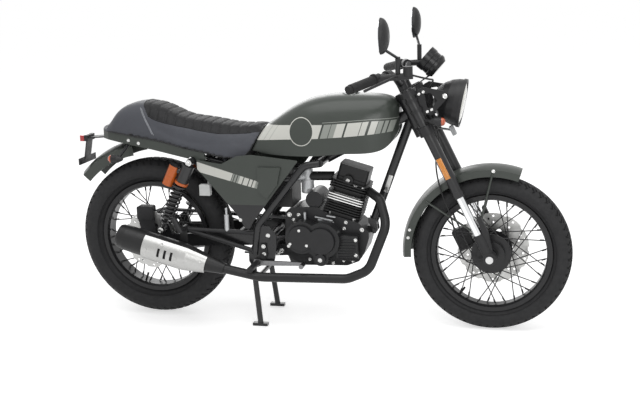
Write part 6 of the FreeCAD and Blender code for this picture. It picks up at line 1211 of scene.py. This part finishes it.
DIAL_LEAN = math.radians(41)
DIAL_FACE = Vector((-math.cos(DIAL_LEAN), 0, math.sin(DIAL_LEAN)))
DIAL_UP = Vector((math.sin(DIAL_LEAN), 0, math.cos(DIAL_LEAN)))
DIAL_MIDDLE = spot(1100, 0, 1040) + DIAL_FACE * 0.0006
DIAL_START, DIAL_SPAN = -120, 240
MARK_COUNT, MARKS_A_NUMBER, NUMBER_STEP = 33, 4, 20
MARK_REACH, NUMBER_REACH = 0.0365, 0.0275


def dial_place(turn, reach):
    """A point on the dial, turned clockwise from the top as the rider sees it."""
    return DIAL_MIDDLE + (RIGHT * math.sin(turn) + DIAL_UP * math.cos(turn)) * reach


def laid(piece, place, across, out):
    """Moves a piece modelled flat at the origin to the dial: its X goes across and its Y goes out."""
    piece.matrix_world = Matrix.Translation(place) @ Matrix((across, out, DIAL_FACE)).transposed().to_4x4()


def dial_piece(piece, turn, reach, name, finish):
    """Lays a piece on the dial, with its Y pointing out from the middle."""
    across = RIGHT * math.cos(turn) - DIAL_UP * math.sin(turn)
    out = RIGHT * math.sin(turn) + DIAL_UP * math.cos(turn)
    laid(piece, dial_place(turn, reach), across, out)
    return finished(piece, name, finish, "steering")


def dial_mark(turn, length):
    bpy.ops.object.select_all(action="DESELECT")
    bpy.ops.mesh.primitive_cube_add(size=1)
    mark = bpy.context.object
    mark.scale = (0.0011, length, 0.0006)
    set_place()
    ease_top(mark, 0.0002, 1)
    return dial_piece(mark, turn, MARK_REACH, "mark", "dial_white")


def dial_number(turn, text):
    bpy.ops.object.select_all(action="DESELECT")
    bpy.ops.object.text_add()
    number = bpy.context.object
    number.data.body = text
    number.data.size = 0.009
    number.data.align_x = "CENTER"
    number.data.align_y = "CENTER"
    number.data.extrude = 0.0002
    laid(number, dial_place(turn, NUMBER_REACH), RIGHT, DIAL_UP)
    bpy.ops.object.convert(target="MESH")
    return finished(bpy.context.object, "number", "dial_white", "steering")


def dial_needle():
    bpy.ops.object.select_all(action="DESELECT")
    bpy.ops.mesh.primitive_cone_add(vertices=4, radius1=0.0022, radius2=0.0004, depth=0.03,
                                    location=(0, 0.012, 0.0018), rotation=(math.radians(-90), 0, 0))
    set_place()
    needle = bpy.context.object
    pick(needle, lambda at, way: way.z > 0.3)
    bpy.ops.mesh.inset(thickness=0.0002)
    close()
    return dial_piece(needle, math.radians(DIAL_START), 0.004, "dial_needle", "orange")


marks = []
for i in range(MARK_COUNT):
    long_mark = i % MARKS_A_NUMBER == 0
    marks.append(dial_mark(math.radians(DIAL_START + DIAL_SPAN * i / (MARK_COUNT - 1)),
                           0.0062 if long_mark else 0.0035))
number_count = MARK_COUNT // MARKS_A_NUMBER + 1
for i in range(number_count):
    turn = math.radians(DIAL_START + DIAL_SPAN * i / (number_count - 1))
    marks.append(dial_number(turn, str(NUMBER_STEP * i)))
dial = joined(marks)
dial.name = "dial_marks"
dial_needle()
boss = cylinder(24, 0.005, 0.004, 0.0018)
ease_top(boss, 0.001)
dial_piece(boss, 0, 0, "dial_boss", "plastic")


# Second finishes at the rear

ORANGE_BELOW, BOTTLE_ABOVE = 0.705, 0.52
repaint("rear_lenses", "orange_lens", lambda at, way: at.z < ORANGE_BELOW)
repaint("rear_brake_cylinder", "milky", lambda at, way: at.z > BOTTLE_ABOVE)
